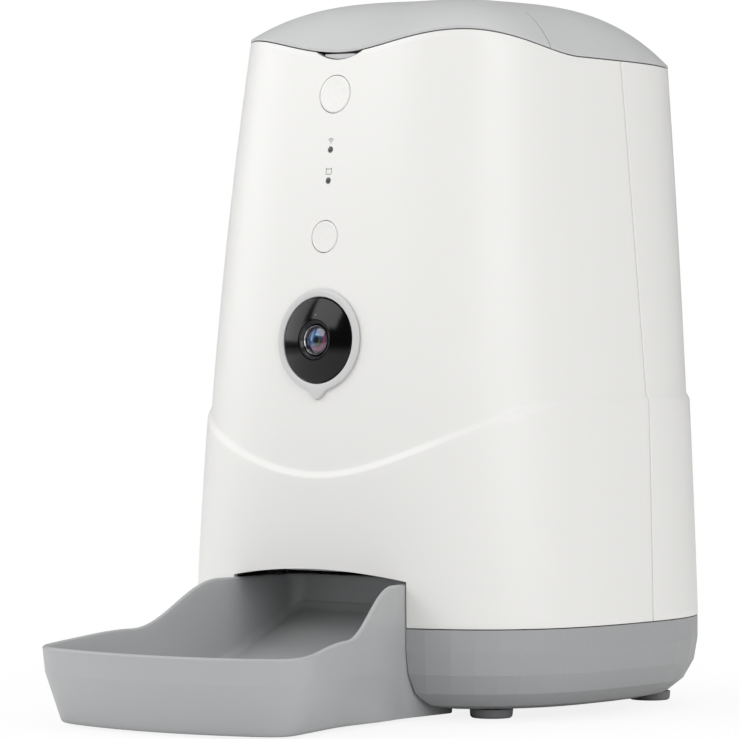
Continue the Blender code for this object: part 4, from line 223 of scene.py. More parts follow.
# Mesh helpers
def surface(name, grid, finish, around=False, sharp=40):
    """Smooth surface through rows of points. Around joins the last column to the first."""
    grid = np.asarray(grid, float)
    rows, columns = grid.shape[:2]
    index = np.arange(rows * columns).reshape(rows, columns)
    if around:
        index = np.hstack([index, index[:, :1]])
    quads = np.stack([index[:-1, :-1], index[:-1, 1:], index[1:, 1:], index[1:, :-1]], axis=-1).reshape(-1, 4)
    mesh = bpy.data.meshes.new(name)
    mesh.vertices.add(rows * columns)
    mesh.vertices.foreach_set("co", grid.ravel())
    mesh.loops.add(quads.size)
    mesh.loops.foreach_set("vertex_index", quads.ravel().astype(np.int32))
    mesh.polygons.add(len(quads))
    mesh.polygons.foreach_set("loop_start", np.arange(len(quads), dtype=np.int32) * 4)
    mesh.update(calc_edges=True)
    shape = bmesh.new()
    shape.from_mesh(mesh)
    bmesh.ops.remove_doubles(shape, verts=shape.verts, dist=1e-6)
    bmesh.ops.recalc_face_normals(shape, faces=shape.faces)
    if around and shape.calc_volume(signed=True) < 0:
        bmesh.ops.reverse_faces(shape, faces=shape.faces)
    shape.to_mesh(mesh)
    shape.free()
    mesh.materials.append(finish)
    mesh.shade_smooth()
    mesh.set_sharp_from_angle(angle=math.radians(sharp))
    obj = bpy.data.objects.new(name, mesh)
    bpy.context.scene.collection.objects.link(obj)
    return obj


def outward(obj, centre):
    """Turns an open surface's faces to look away from a centre."""
    mesh = obj.data
    normals = np.empty(len(mesh.polygons) * 3)
    middles = np.empty(len(mesh.polygons) * 3)
    mesh.polygons.foreach_get("normal", normals)
    mesh.polygons.foreach_get("center", middles)
    if np.sum(normals.reshape(-1, 3) * (middles.reshape(-1, 3) - np.array(centre))) < 0:
        mesh.flip_normals()
    return obj


def settle(obj, sharp=32):
    """Applies the modifiers and shades smooth but for sharp edges."""
    graph = bpy.context.evaluated_depsgraph_get()
    mesh = bpy.data.meshes.new_from_object(obj.evaluated_get(graph))
    obj.modifiers.clear()
    old = obj.data
    obj.data = mesh
    bpy.data.meshes.remove(old)
    mesh.shade_smooth()
    mesh.set_sharp_from_angle(angle=math.radians(sharp))
    return obj


def thicken(obj, depth, edge=0.00035):
    modifier = obj.modifiers.new("wall", "SOLIDIFY")
    modifier.thickness = depth
    modifier.offset = -1
    modifier.use_even_offset = True
    if edge:
        bevel = obj.modifiers.new("edge", "BEVEL")
        bevel.width = edge
        bevel.segments = 2
        bevel.limit_method = "ANGLE"
        bevel.angle_limit = math.radians(55)
    return settle(obj)


def carve(obj, *tools):
    for tool in tools:
        modifier = obj.modifiers.new(tool.name, "BOOLEAN")
        modifier.operation = "DIFFERENCE"
        modifier.solver = "EXACT"
        modifier.object = tool
    settle(obj)
    for tool in tools:
        bpy.data.objects.remove(tool)
    return obj


def gather(obj, *others):
    """Joins meshes into one object."""
    shape = bmesh.new()
    for piece in (obj,) + others:
        shape.from_mesh(piece.data)
    shape.to_mesh(obj.data)
    shape.free()
    for other in others:
        bpy.data.objects.remove(other)
    return obj


def softened(points, size, steps=3):
    """Profile with rounded corners: each becomes a curve between points a size away on either side."""
    points = [np.array(point, float) for point in points]
    out = [points[0]]
    for before, here, after in zip(points, points[1:], points[2:]):
        back, on = before - here, after - here
        start = here + back * min(size / np.linalg.norm(back), 0.45)
        end = here + on * min(size / np.linalg.norm(on), 0.45)
        for share in np.linspace(0, 1, steps + 1):
            out.append(start * (1 - share) ** 2 + here * 2 * share * (1 - share) + end * share * share)
    out.append(points[-1])
    return out


def facing(height):
    """Places points on the front wall at a height: x to the right, y up the wall, and along out of it."""
    tilt = front_tilt(height)
    origin = np.array([0, float(front_y(0, height)), height])
    right = np.array([1.0, 0, 0])
    up = np.array([0, math.sin(tilt), math.cos(tilt)])
    ahead = np.array([0, -math.cos(tilt), math.sin(tilt)])

    def place(x, y, along):
        flat = np.multiply.outer(x, right) + np.multiply.outer(y, up)
        return origin + flat + np.multiply.outer(along, ahead)

    return place


def upright(x, z, y):
    """Places an outline that stands across the part and is pushed along Y."""
    return np.stack(np.broadcast_arrays(x, y, z), axis=-1)


def sideways(y, z, x):
    """Places an outline that stands along the part and is pushed along X."""
    return np.stack(np.broadcast_arrays(x, y, z), axis=-1)


def lying(x, y, z):
    """Places an outline that lies flat and is pushed along Z."""
    return np.stack(np.broadcast_arrays(x, y, z), axis=-1)


def prism(name, outline, place, finish, ends, edge=0.0):
    """Outline pushed from one end to the other, its ends drawn in a little by the edge size, and closed."""
    outline = np.array(outline, float)
    middle = outline.mean(axis=0)
    near, far = ends
    stations = [(near, 0.0), (near, 1.0), (far, 1.0), (far, 0.0)]
    if edge:
        drawn = 1 - edge / np.abs(outline - middle).max()
        stations = [(near, 0.0), (near, drawn), (near + edge, 1.0),
                    (far - edge, 1.0), (far, drawn), (far, 0.0)]
    grid = []
    for along, scale in stations:
        points = middle + (outline - middle) * scale
        grid.append(place(points[:, 0], points[:, 1], along))
    return surface(name, grid, finish, around=True)


def circle(radius, steps, centre=(0, 0)):
    angles = np.linspace(0, 2 * math.pi, steps + 1)[:-1]
    return np.stack([centre[0] + radius * np.cos(angles), centre[1] + radius * np.sin(angles)], axis=1)


def turned(name, profile, finish, steps, x=0.0, y=0.0):
    """Profile of radius and height turned about an upright axis."""
    profile = np.array(profile, float)
    angles = np.linspace(0, 2 * math.pi, steps + 1)[:-1]
    radius = profile[:, :1]
    grid = lying(x + radius * np.cos(angles), y + radius * np.sin(angles), profile[:, 1:])
    return surface(name, grid, finish, around=True)


def round_piece(name, profile, height, finish, steps=96, ring=False, rise=0.0):
    """Profile of radius and height turned about the front wall's normal. A ring's profile closes on itself."""
    profile = np.array(profile, float)
    if ring:
        profile = np.vstack([profile, profile[:1]])
    angles = np.linspace(0, 2 * math.pi, steps + 1)[:-1]
    radius = profile[:, :1]
    out = profile[:, 1:] + np.zeros_like(angles)
    grid = facing(height)(radius * np.cos(angles), rise + radius * np.sin(angles), out)
    return surface(name, grid, finish, around=True)


def box_outline(x0, x1, y0, y1, corner):
    """Box with round corners, each a quarter circle of five points."""
    middles = ((x1 - corner, y0 + corner, -90), (x1 - corner, y1 - corner, 0),
               (x0 + corner, y1 - corner, 90), (x0 + corner, y0 + corner, 180))
    quarters = []
    for x, y, start in middles:
        angles = np.radians(np.linspace(start, start + 90, 5))
        quarters.append(np.stack([x + corner * np.cos(angles), y + corner * np.sin(angles)], axis=1))
    return np.vstack(quarters)


# Materials
def new_material(name):
    """Node material with a Principled shader and its output. Returns the material, its tree and the shader."""
    made = bpy.data.materials.new(name)
    made.use_nodes = True
    tree = made.node_tree
    tree.nodes.clear()
    shader = tree.nodes.new("ShaderNodeBsdfPrincipled")
    output = tree.nodes.new("ShaderNodeOutputMaterial")
    tree.links.new(shader.outputs["BSDF"], output.inputs["Surface"])
    return made, tree, shader


def moulded_group():
    """Node group for moulded plastic: soft tone drift, fine spark-eroded grain, faint rub marks."""
    group = bpy.data.node_groups.new("moulded_finish", "ShaderNodeTree")
    face = group.interface
    for name, kind, value in (
        ("Colour", "NodeSocketColor", (0.8, 0.8, 0.8, 1)),
        ("Drift", "NodeSocketFloat", 0.03),
        ("Roughness", "NodeSocketFloat", 0.4),
        ("Rub", "NodeSocketFloat", 0.08),
        ("Grain Scale", "NodeSocketFloat", 2600.0),
        ("Grain Depth", "NodeSocketFloat", 0.05),
    ):
        socket = face.new_socket(name, in_out="INPUT", socket_type=kind)
        socket.default_value = value
    face.new_socket("Colour", in_out="OUTPUT", socket_type="NodeSocketColor")
    face.new_socket("Roughness", in_out="OUTPUT", socket_type="NodeSocketFloat")
    face.new_socket("Normal", in_out="OUTPUT", socket_type="NodeSocketVector")
    add = group.nodes.new
    link = group.links.new
    given = add("NodeGroupInput")
    result = add("NodeGroupOutput")
    place = add("ShaderNodeTexCoord")

    drift = add("ShaderNodeTexNoise")
    drift.inputs["Scale"].default_value = 14.0
    drift.inputs["Detail"].default_value = 4.0
    link(place.outputs["Object"], drift.inputs["Vector"])
    centred = add("ShaderNodeMath")
    centred.operation = "SUBTRACT"
    centred.inputs[1].default_value = 0.5
    link(drift.outputs["Fac"], centred.inputs[0])
    amount = add("ShaderNodeMath")
    amount.operation = "MULTIPLY"
    link(centred.outputs[0], amount.inputs[0])
    link(given.outputs["Drift"], amount.inputs[1])
    value = add("ShaderNodeMath")
    value.operation = "ADD"
    value.inputs[1].default_value = 1.0
    link(amount.outputs[0], value.inputs[0])
    tone = add("ShaderNodeHueSaturation")
    link(value.outputs[0], tone.inputs["Value"])
    link(given.outputs["Colour"], tone.inputs["Color"])
    link(tone.outputs["Color"], result.inputs["Colour"])

    rub = add("ShaderNodeTexNoise")
    rub.inputs["Scale"].default_value = 90.0
    rub.inputs["Detail"].default_value = 6.0
    rub.inputs["Distortion"].default_value = 1.2
    link(place.outputs["Object"], rub.inputs["Vector"])
    marks = add("ShaderNodeMapRange")
    marks.inputs["From Min"].default_value = 0.42
    marks.inputs["From Max"].default_value = 0.68
    marks.inputs["To Min"].default_value = -0.5
    marks.inputs["To Max"].default_value = 0.5
    link(rub.outputs["Fac"], marks.inputs["Value"])
    spread = add("ShaderNodeMath")
    spread.operation = "MULTIPLY_ADD"
    link(marks.outputs["Result"], spread.inputs[0])
    link(given.outputs["Rub"], spread.inputs[1])
    link(given.outputs["Roughness"], spread.inputs[2])
    link(spread.outputs[0], result.inputs["Roughness"])

    grain = add("ShaderNodeTexNoise")
    grain.inputs["Detail"].default_value = 2.0
    link(given.outputs["Grain Scale"], grain.inputs["Scale"])
    link(place.outputs["Object"], grain.inputs["Vector"])
    bump = add("ShaderNodeBump")
    bump.inputs["Distance"].default_value = 0.00004
    link(given.outputs["Grain Depth"], bump.inputs["Strength"])
    link(grain.outputs["Fac"], bump.inputs["Height"])
    link(bump.outputs["Normal"], result.inputs["Normal"])
    return group


MOULDED = moulded_group()


def moulded(name, colour, roughness, drift=0.02, rub=0.06, grain=0.05, scale=2600.0,
            specular=0.5, metal=0.0):
    """Moulded plastic of a linear colour."""
    made, tree, shader = new_material(name)
    finish = tree.nodes.new("ShaderNodeGroup")
    finish.node_tree = MOULDED
    for socket, value in (("Colour", (*colour, 1)), ("Drift", drift),
                          ("Roughness", roughness), ("Rub", rub),
                          ("Grain Scale", scale), ("Grain Depth", grain)):
        finish.inputs[socket].default_value = value
    shader.inputs["Specular IOR Level"].default_value = specular
    shader.inputs["Metallic"].default_value = metal
    tree.links.new(finish.outputs["Colour"], shader.inputs["Base Color"])
    tree.links.new(finish.outputs["Roughness"], shader.inputs["Roughness"])
    tree.links.new(finish.outputs["Normal"], shader.inputs["Normal"])
    return made


def painted_reflection_lens_material():
    """Lens: dark glass with painted reflections of its coating, in rings by the share of its radius, blue above
    left and magenta below right.
    """
    made, tree, shader = new_material("lens_glass_painted_reflections")
    span = tree.nodes.new("ShaderNodeAttribute")
    span.attribute_name = "span"
    # Side runs towards the upper left, and turns the painted reflection tint from magenta to blue.
    side = tree.nodes.new("ShaderNodeAttribute")
    side.attribute_name = "side"
    ramps = []
    # Painted reflection colours of the coating, one ramp for each tint, in rings by the share of the radius.
    for stops in (
        ((0.0, (0.02, 0.02, 0.03)), (0.16, (0.004, 0.004, 0.006)), (0.3, (0.02, 0.05, 0.16)),
         (0.46, (0.05, 0.2, 0.4)), (0.6, (0.01, 0.05, 0.2)), (0.78, (0.03, 0.09, 0.22)),
         (0.9, (0.01, 0.01, 0.02)), (1.0, (0.03, 0.03, 0.04))),
        ((0.0, (0.02, 0.02, 0.03)), (0.16, (0.004, 0.004, 0.006)), (0.3, (0.07, 0.07, 0.02)),
         (0.46, (0.02, 0.03, 0.02)), (0.6, (0.13, 0.04, 0.09)), (0.78, (0.2, 0.07, 0.12)),
         (0.9, (0.01, 0.01, 0.02)), (1.0, (0.03, 0.03, 0.04))),
    ):
        ramp = tree.nodes.new("ShaderNodeValToRGB")
        while len(ramp.color_ramp.elements) < len(stops):
            ramp.color_ramp.elements.new(0.5)
        for element, (position, colour) in zip(ramp.color_ramp.elements, stops):
            element.position = position
            element.color = (*colour, 1)
        tree.links.new(span.outputs["Fac"], ramp.inputs["Fac"])
        ramps.append(ramp)
    blend = tree.nodes.new("ShaderNodeMapRange")
    blend.inputs["From Min"].default_value = -0.35
    blend.inputs["From Max"].default_value = 0.35
    tree.links.new(side.outputs["Fac"], blend.inputs["Value"])
    mix = tree.nodes.new("ShaderNodeMix")
    mix.data_type = "RGBA"
    tree.links.new(blend.outputs["Result"], mix.inputs["Factor"])
    tree.links.new(ramps[1].outputs["Color"], mix.inputs["A"])
    tree.links.new(ramps[0].outputs["Color"], mix.inputs["B"])
    tree.links.new(mix.outputs["Result"], shader.inputs["Base Color"])
    shader.inputs["Roughness"].default_value = 0.08
    shader.inputs["Coat Weight"].default_value = 1.0
    shader.inputs["Coat Roughness"].default_value = 0.02
    return made


def board_material():
    """Circuit board: solder mask over faint tracks."""
    made, tree, shader = new_material("circuit_board")
    place = tree.nodes.new("ShaderNodeTexCoord")
    tracks = tree.nodes.new("ShaderNodeTexBrick")
    tracks.inputs["Scale"].default_value = 190.0
    tracks.inputs["Mortar Size"].default_value = 0.09
    tracks.inputs["Color1"].default_value = (0.012, 0.09, 0.035, 1)
    tracks.inputs["Color2"].default_value = (0.016, 0.12, 0.045, 1)
    tracks.inputs["Mortar"].default_value = (0.03, 0.19, 0.08, 1)
    tree.links.new(place.outputs["Object"], tracks.inputs["Vector"])
    tree.links.new(tracks.outputs["Color"], shader.inputs["Base Color"])
    bump = tree.nodes.new("ShaderNodeBump")
    bump.inputs["Distance"].default_value = 0.00003
    tree.links.new(tracks.outputs["Fac"], bump.inputs["Height"])
    tree.links.new(bump.outputs["Normal"], shader.inputs["Normal"])
    shader.inputs["Roughness"].default_value = 0.35
    return made


WHITE = moulded("white_shell", (0.80, 0.797, 0.785), 0.38, drift=0.012)
KEY_WHITE = moulded("key_white", (0.80, 0.797, 0.785), 0.3, drift=0.01)
LID_GREY = moulded("lid_grey", (0.55, 0.555, 0.562), 0.42)
BASE_GREY = moulded("base_grey", (0.345, 0.35, 0.358), 0.45)
TRAY_GREY = moulded("tray_grey", (0.405, 0.412, 0.42), 0.42)
BEZEL_GREY = moulded("bezel_grey", (0.60, 0.60, 0.605), 0.34)
# Near-black plastic; on the tray guide it is painted shade for the recess under the tray.
DARK = moulded("dark_plastic", (0.008, 0.008, 0.009), 0.55, specular=0.3)
GLOSS = moulded("gloss_black", (0.0015, 0.0015, 0.002), 0.13,
                rub=0.01, grain=0.0, specular=0.32)
RING_BLACK = moulded("lens_ring_black", (0.02, 0.02, 0.022), 0.22, rub=0.02, grain=0.0)
RING_METAL = moulded("lens_rim_metal", (0.5, 0.5, 0.52), 0.22, rub=0.02, grain=0.0, metal=1.0)
MARK = moulded("printed_mark", (0.22, 0.22, 0.225), 0.5)
LIGHT_DARK = moulded("light_window", (0.06, 0.06, 0.065), 0.2, grain=0.0)
BOARD = board_material()
STEEL = moulded("steel", (0.6, 0.6, 0.61), 0.3, metal=1.0, scale=900.0)
HOPPER_GREY = moulded("hopper_plastic", (0.5, 0.51, 0.52), 0.3)
ACETAL = moulded("gear_plastic", (0.78, 0.77, 0.72), 0.4)
SILICONE = moulded("silicone", (0.7, 0.7, 0.69), 0.6)
RUBBER = moulded("rubber", (0.22, 0.22, 0.23), 0.8)
PAINTED_REFLECTION_LENS = painted_reflection_lens_material()

FINISHES = {
    WHITE: ("fill_deck", "dispenser_plate"),
    LID_GREY: ("lid_liner", "desiccant_box", "desiccant_cover"),
    BASE_GREY: ("base_housing", "battery_door", "gear_plate"),
    # The tray guide takes near black as painted shade in the recess under the tray; the other parts here are
    # dark plastic.
    DARK: ("tray_guide", "battery_box", "camera_module", "feed_switch", "settings_switch",
           "speaker", "power_socket"),
    BOARD: ("camera_board", "button_board", "main_board"),
    STEEL: ("hinge_pin", "latch_spring", "wheel_shaft", "motor",
            "battery_contact_front", "battery_contact_rear",
            "plate_screw_1", "plate_screw_2", "plate_screw_3", "plate_screw_4"),
    HOPPER_GREY: ("hopper", "portion_baffle", "outlet_chute", "network_light", "food_light"),
    ACETAL: ("portion_wheel", "drive_gear", "motor_pinion"),
    SILICONE: ("lid_seal",),
}
for finish, names in FINISHES.items():
    for name in names:
        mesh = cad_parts[name].data
        mesh.materials.clear()
        mesh.materials.append(finish)


# Shells
SHELL_MIDDLE = (0, AXIS_Y, 0.16)


def shell_grid(turns_at, nominal):
    """Rows up the wall: stood out to the wave's crest, eased in over the chamfer, then on the wall."""
    foot = BASE_TOP + SEAM
    crest = wave(nominal)
    band = crest + WAVE_CHAMFER
    edge = top_edge(nominal)
    rows = [(foot + (crest - foot) * s, WAVE_STEP) for s in np.linspace(0, 1, 30)]
    rows += [(crest + WAVE_CHAMFER * s, WAVE_STEP * (1 - ease(s))) for s in np.linspace(0, 1, 9)[1:]]
    rows += [(band + (edge - band) * s, 0.0) for s in np.linspace(0, 1, 66)[1:]]
    grid = []
    for height, out in rows:
        x, y = wall(turns_at(height, out), height, out)
        grid.append(np.stack([x, y, height * np.ones_like(x)], axis=-1))
    return grid


def front_shell():
    """Front half of the housing: the squared oval between the two seams, from the base to the top edge."""
    last = float(seam_turn(WAVE_HIGH, -SEAM / 2))
    right = even_turns(0, last, 96)
    nominal = np.concatenate([-right[::-1], right[1:]])

    def turns_at(height, out):
        """The turns stay up to a fixed one, and beyond it they are spread out to where the seam is."""
        end = seam_turn(np.asarray(height) * np.ones_like(nominal), -SEAM / 2, out)
        size = np.abs(nominal)
        moved = FIXED_TURN + (size - FIXED_TURN) * (end - FIXED_TURN) / (last - FIXED_TURN)
        return np.sign(nominal) * np.where(size > FIXED_TURN, moved, size)

    obj = outward(surface("front_shell_dressed", shell_grid(turns_at, nominal), WHITE), SHELL_MIDDLE)
    thicken(obj, WALL)
    low = 0.030
    arch = [(ARCH_HALF * s, ARCH_SPRING + ARCH_RISE * (1 - s * s)) for s in np.linspace(-1, 1, 49)]
    arch = [(-ARCH_HALF, low)] + arch + [(ARCH_HALF, low)]
    front = float(front_y(0, ARCH_SPRING))
    tools = [prism("arch_tool", arch, upright, WHITE, (front - 0.02, front + 0.02))]
    front = float(front_y(0, EDGE_FRONT))
    scoop = circle(SCOOP_RADIUS, 160, (0, EDGE_FRONT - SCOOP_DEPTH + SCOOP_RADIUS))
    tools.append(prism("scoop_tool", scoop, upright, WHITE, (front - 0.004, front + 0.007)))
    holes = ((CAMERA_RADIUS, CAMERA),
             (FEED_RADIUS + GAP, FEED_BUTTON), (SETTINGS_RADIUS + GAP, SETTINGS_BUTTON),
             (LIGHT_RADIUS + GAP, NETWORK_LIGHT), (LIGHT_RADIUS + GAP, FOOD_LIGHT))
    for number, (radius, height) in enumerate(holes):
        hole = circle(radius, 96)
        tools.append(prism("hole_tool_%d" % number, hole, facing(height), WHITE, (-0.007, 0.007)))
    return carve(obj, *tools)


def rear_shell():
    """Rear half of the housing, with rounded slots for the speaker and a hole for the socket."""
    start = float(seam_turn(WAVE_HIGH, SEAM / 2))
    shares = (even_turns(start, 2, REAR_COLUMNS) - start) / (2 - start)

    def turns_at(height, out):
        """From the seam to the rear in even shares, and back along the other side."""
        begin = seam_turn(np.asarray(height)[:REAR_COLUMNS] if np.ndim(height) else height, SEAM / 2, out)
        half = begin + (2 - begin) * shares
        return np.concatenate([half, -half[::-1][1:]])

    grid = shell_grid(turns_at, turns_at(WAVE_HIGH, 0.0))
    obj = outward(surface("rear_shell_dressed", grid, WHITE), SHELL_MIDDLE)
    thicken(obj, WALL)
    rear = AXIS_Y + float(parabola(GRILLE, REAR_DEPTHS))
    tools = []
    for number in range(7):
        middle = (number - 3) * SLOT_PITCH
        half = math.sqrt(GRILLE_RADIUS ** 2 - middle ** 2)
        side = SLOT_WIDTH / 2
        slot = box_outline(middle - side, middle + side, GRILLE - half, GRILLE + half, side - 0.00001)
        tools.append(prism("slot_tool_%d" % number, slot, upright, WHITE, (rear - 0.007, rear + 0.004)))
    rear = AXIS_Y + float(parabola(SOCKET, REAR_DEPTHS))
    hole = circle(SOCKET_RADIUS, 48, (0, SOCKET))
    tools.append(prism("socket_tool", hole, upright, WHITE, (rear - 0.007, rear + 0.004)))
    return carve(obj, *tools)


# Lid
def parting(x, shift):
    """Parting seen from above: it lies over the hinge and sweeps forwards as the square of x."""
    return HINGE_Y - PARTING_SWEEP * (x / HALF_WIDTHS[0]) ** 2 + shift


def parting_turn(shift):
    """Turn at which the rim meets the parting."""
    turns = np.linspace(0.5, 1.2, 7001)
    x, y = wall(turns, top_edge(turns) + SEAM)
    return float(turns[np.argmin(np.abs(y - parting(x, shift)))])


def lid_part(name, turns, shift):
    """Part of the dome: seen from above, rows go straight from the parting to the rim, then down the lip."""
    start = top_edge(turns) + SEAM
    edge_x, edge_y = wall(turns, start)
    split_x = np.linspace(edge_x[0], edge_x[-1], len(turns))
    split_y = parting(split_x, shift)
    grid = []
    for share in np.linspace(0, 1, 60):
        x = split_x + (edge_x - split_x) * share
        y = split_y + (edge_y - split_y) * share
        grid.append(np.stack([x, y, lid_height(x, y)], axis=-1))
    grid.append(np.stack([edge_x, edge_y, start], axis=-1))
    return outward(surface(name, grid, LID_GREY), (0, AXIS_Y, 0.15))


def knuckle(name, low, high, side):
    """Hinge barrel with its arm: a round outline drawn out to one side and pushed along the pin."""
    height = float(lid_height(np.array(0.0), np.array(HINGE_Y))) - HINGE_DEPTH
    angles = np.radians(np.linspace(58, 330, 28))
    barrel = np.stack([side * KNUCKLE_RADIUS * np.cos(angles), KNUCKLE_RADIUS * np.sin(angles)], axis=1)
    outline = np.vstack([(side * 0.0050, 0.0017), barrel, (side * 0.0050, -0.0010)]) + (HINGE_Y, height)
    return prism(name, outline, sideways, LID_GREY, (low, high), 0.0002)


def lid_pieces():
    """The flap ahead of the parting and the cap behind it, each notched for the other's hinge knuckles."""
    turn = parting_turn(-PARTING_SHIFT)
    half = even_turns(0, turn, 110)
    flap = lid_part("lid_flap_dressed", np.concatenate([-half[::-1], half[1:]]), -PARTING_SHIFT)
    thicken(flap, LID_WALL, 0.0003)
    notch = box_outline(-NOTCH_HALF, NOTCH_HALF, HINGE_Y - NOTCH_AHEAD, HINGE_Y + 0.02, 0.0004)
    carve(flap, prism("flap_notch", notch, lying, LID_GREY, (0.270, 0.310)))
    gather(flap, knuckle("flap_knuckle", -KNUCKLE_SPLIT, KNUCKLE_SPLIT, -1))
    turn = parting_turn(PARTING_SHIFT)
    half = even_turns(turn, 2, 110)
    cap = lid_part("lid_cap_dressed", np.concatenate([half, -half[::-1][1:]]), PARTING_SHIFT)
    thicken(cap, LID_WALL, 0.0003)
    notch = box_outline(-NOTCH_HALF, NOTCH_HALF, HINGE_Y - 0.02, HINGE_Y + NOTCH_BEHIND, 0.0004)
    carve(cap, prism("cap_notch", notch, lying, LID_GREY, (0.270, 0.310)))
    gather(cap, knuckle("cap_knuckle_right", KNUCKLE_SPLIT + GAP, KNUCKLE_END, 1),
           knuckle("cap_knuckle_left", -KNUCKLE_END, -KNUCKLE_SPLIT - GAP, 1))
    return flap, cap


def latch_tab():
    """Press tab: an outline with a round lower edge, pushed back from the scoop, and the body behind it."""
    bottom = EDGE_FRONT - SCOOP_DEPTH + SEAM
    x = TAB_HALF * np.linspace(-1, 1, 33)
    arc = np.stack([x, bottom + SCOOP_RADIUS - np.sqrt(SCOOP_RADIUS ** 2 - x ** 2)], axis=1)
    outline = np.vstack([arc, (TAB_HALF, EDGE_FRONT - GAP), (-TAB_HALF, EDGE_FRONT - GAP)])
    face = float(front_y(0, EDGE_FRONT)) + 0.0006
    back = float(front_y(0, EDGE_FRONT)) + 0.0115
    tab = prism("latch_dressed", outline, upright, LID_GREY, (face, back), 0.0003)
    body = box_outline(-TAB_HALF, TAB_HALF, EDGE_FRONT - 0.0014, EDGE_FRONT + 0.0046, 0.0006)
    return gather(tab, prism("latch_body", body, upright, LID_GREY, (back - 0.0030, back), 0.0002))


# Tray
def bend(start, apex, end, count):
    """Curve from start to end that leaves and arrives along the lines to the apex."""
    start, apex, end = np.array(start), np.array(apex), np.array(end)
    return [start * (1 - s) ** 2 + apex * 2 * s * (1 - s) + end * s * s for s in np.linspace(0, 1, count)[1:]]


def tray_rim_outline(count):
    """Rim seen from above: a bowed front, round corners, straight sides, a neck and a back, from the axis."""
    bulge = TRAY_BULGE / CORNER_X ** 2
    points = [np.array((x, bulge * x * x - TRAY_REACH)) for x in np.linspace(0, CORNER_X, 30)]
    slope = 2 * bulge * CORNER_X
    fan_x = NECK + TRAY_FAN * (CORNER_BACK - NECK_FRONT)
    end = np.array((fan_x, -CORNER_BACK))
    start = points[-1]
    lean = slope * TRAY_FAN
    apex_y = (start[1] + slope * (fan_x - start[0]) + lean * end[1]) / (1 + lean)
    points += bend(start, (fan_x - TRAY_FAN * (apex_y - end[1]), apex_y), end, 40)
    side = np.linspace(-CORNER_BACK, -NECK_FRONT - NECK_CORNER, 40)[1:]
    points += [np.array((NECK + TRAY_FAN * (-y - NECK_FRONT), y)) for y in side]
    points += bend(points[-1], (NECK, -NECK_FRONT), (NECK, NECK_CORNER - NECK_FRONT), 14)
    points += [np.array((NECK, y)) for y in np.linspace(points[-1][1], -NECK_BACK - BACK_CORNER, 20)[1:-1]]
    for angle in np.linspace(0, math.pi / 2, 14):
        away = BACK_CORNER * (1 - math.cos(angle)), BACK_CORNER * (1 - math.sin(angle))
        points.append(np.array((NECK - away[0], -NECK_BACK - away[1])))
    points += [np.array((x, -NECK_BACK)) for x in np.linspace(NECK - BACK_CORNER, 0, 16)[1:]]
    points = np.array(points)
    length = np.concatenate([[0], np.cumsum(np.hypot(*np.diff(points, axis=0).T))])
    picks = np.linspace(0, length[-1], count)
    right = np.stack([np.interp(picks, length, points[:, 0]), np.interp(picks, length, points[:, 1])], axis=1)
    return np.vstack([right, right[::-1][1:-1] * (-1, 1)])


def tray_rim_height(y):
    """Rim: low ahead, eased up a step to the middle, and eased up again to the neck."""
    first = ease((RISE_FRONT + y) / (RISE_FRONT - RISE_MIDDLE))
    second = ease((RISE_MIDDLE + y) / (RISE_MIDDLE - RISE_BACK))
    return RIM_FRONT + RIM_STEP * first + (RIM_NECK - RIM_MIDDLE) * second


def tray_floor(y):
    """Floor: level ahead, then a straight ramp up to the neck."""
    return FLOOR_TOP + FLOOR_RISE * np.clip((RAMP_START + y) / (RAMP_START - NECK_BACK - WALL), 0, 1)


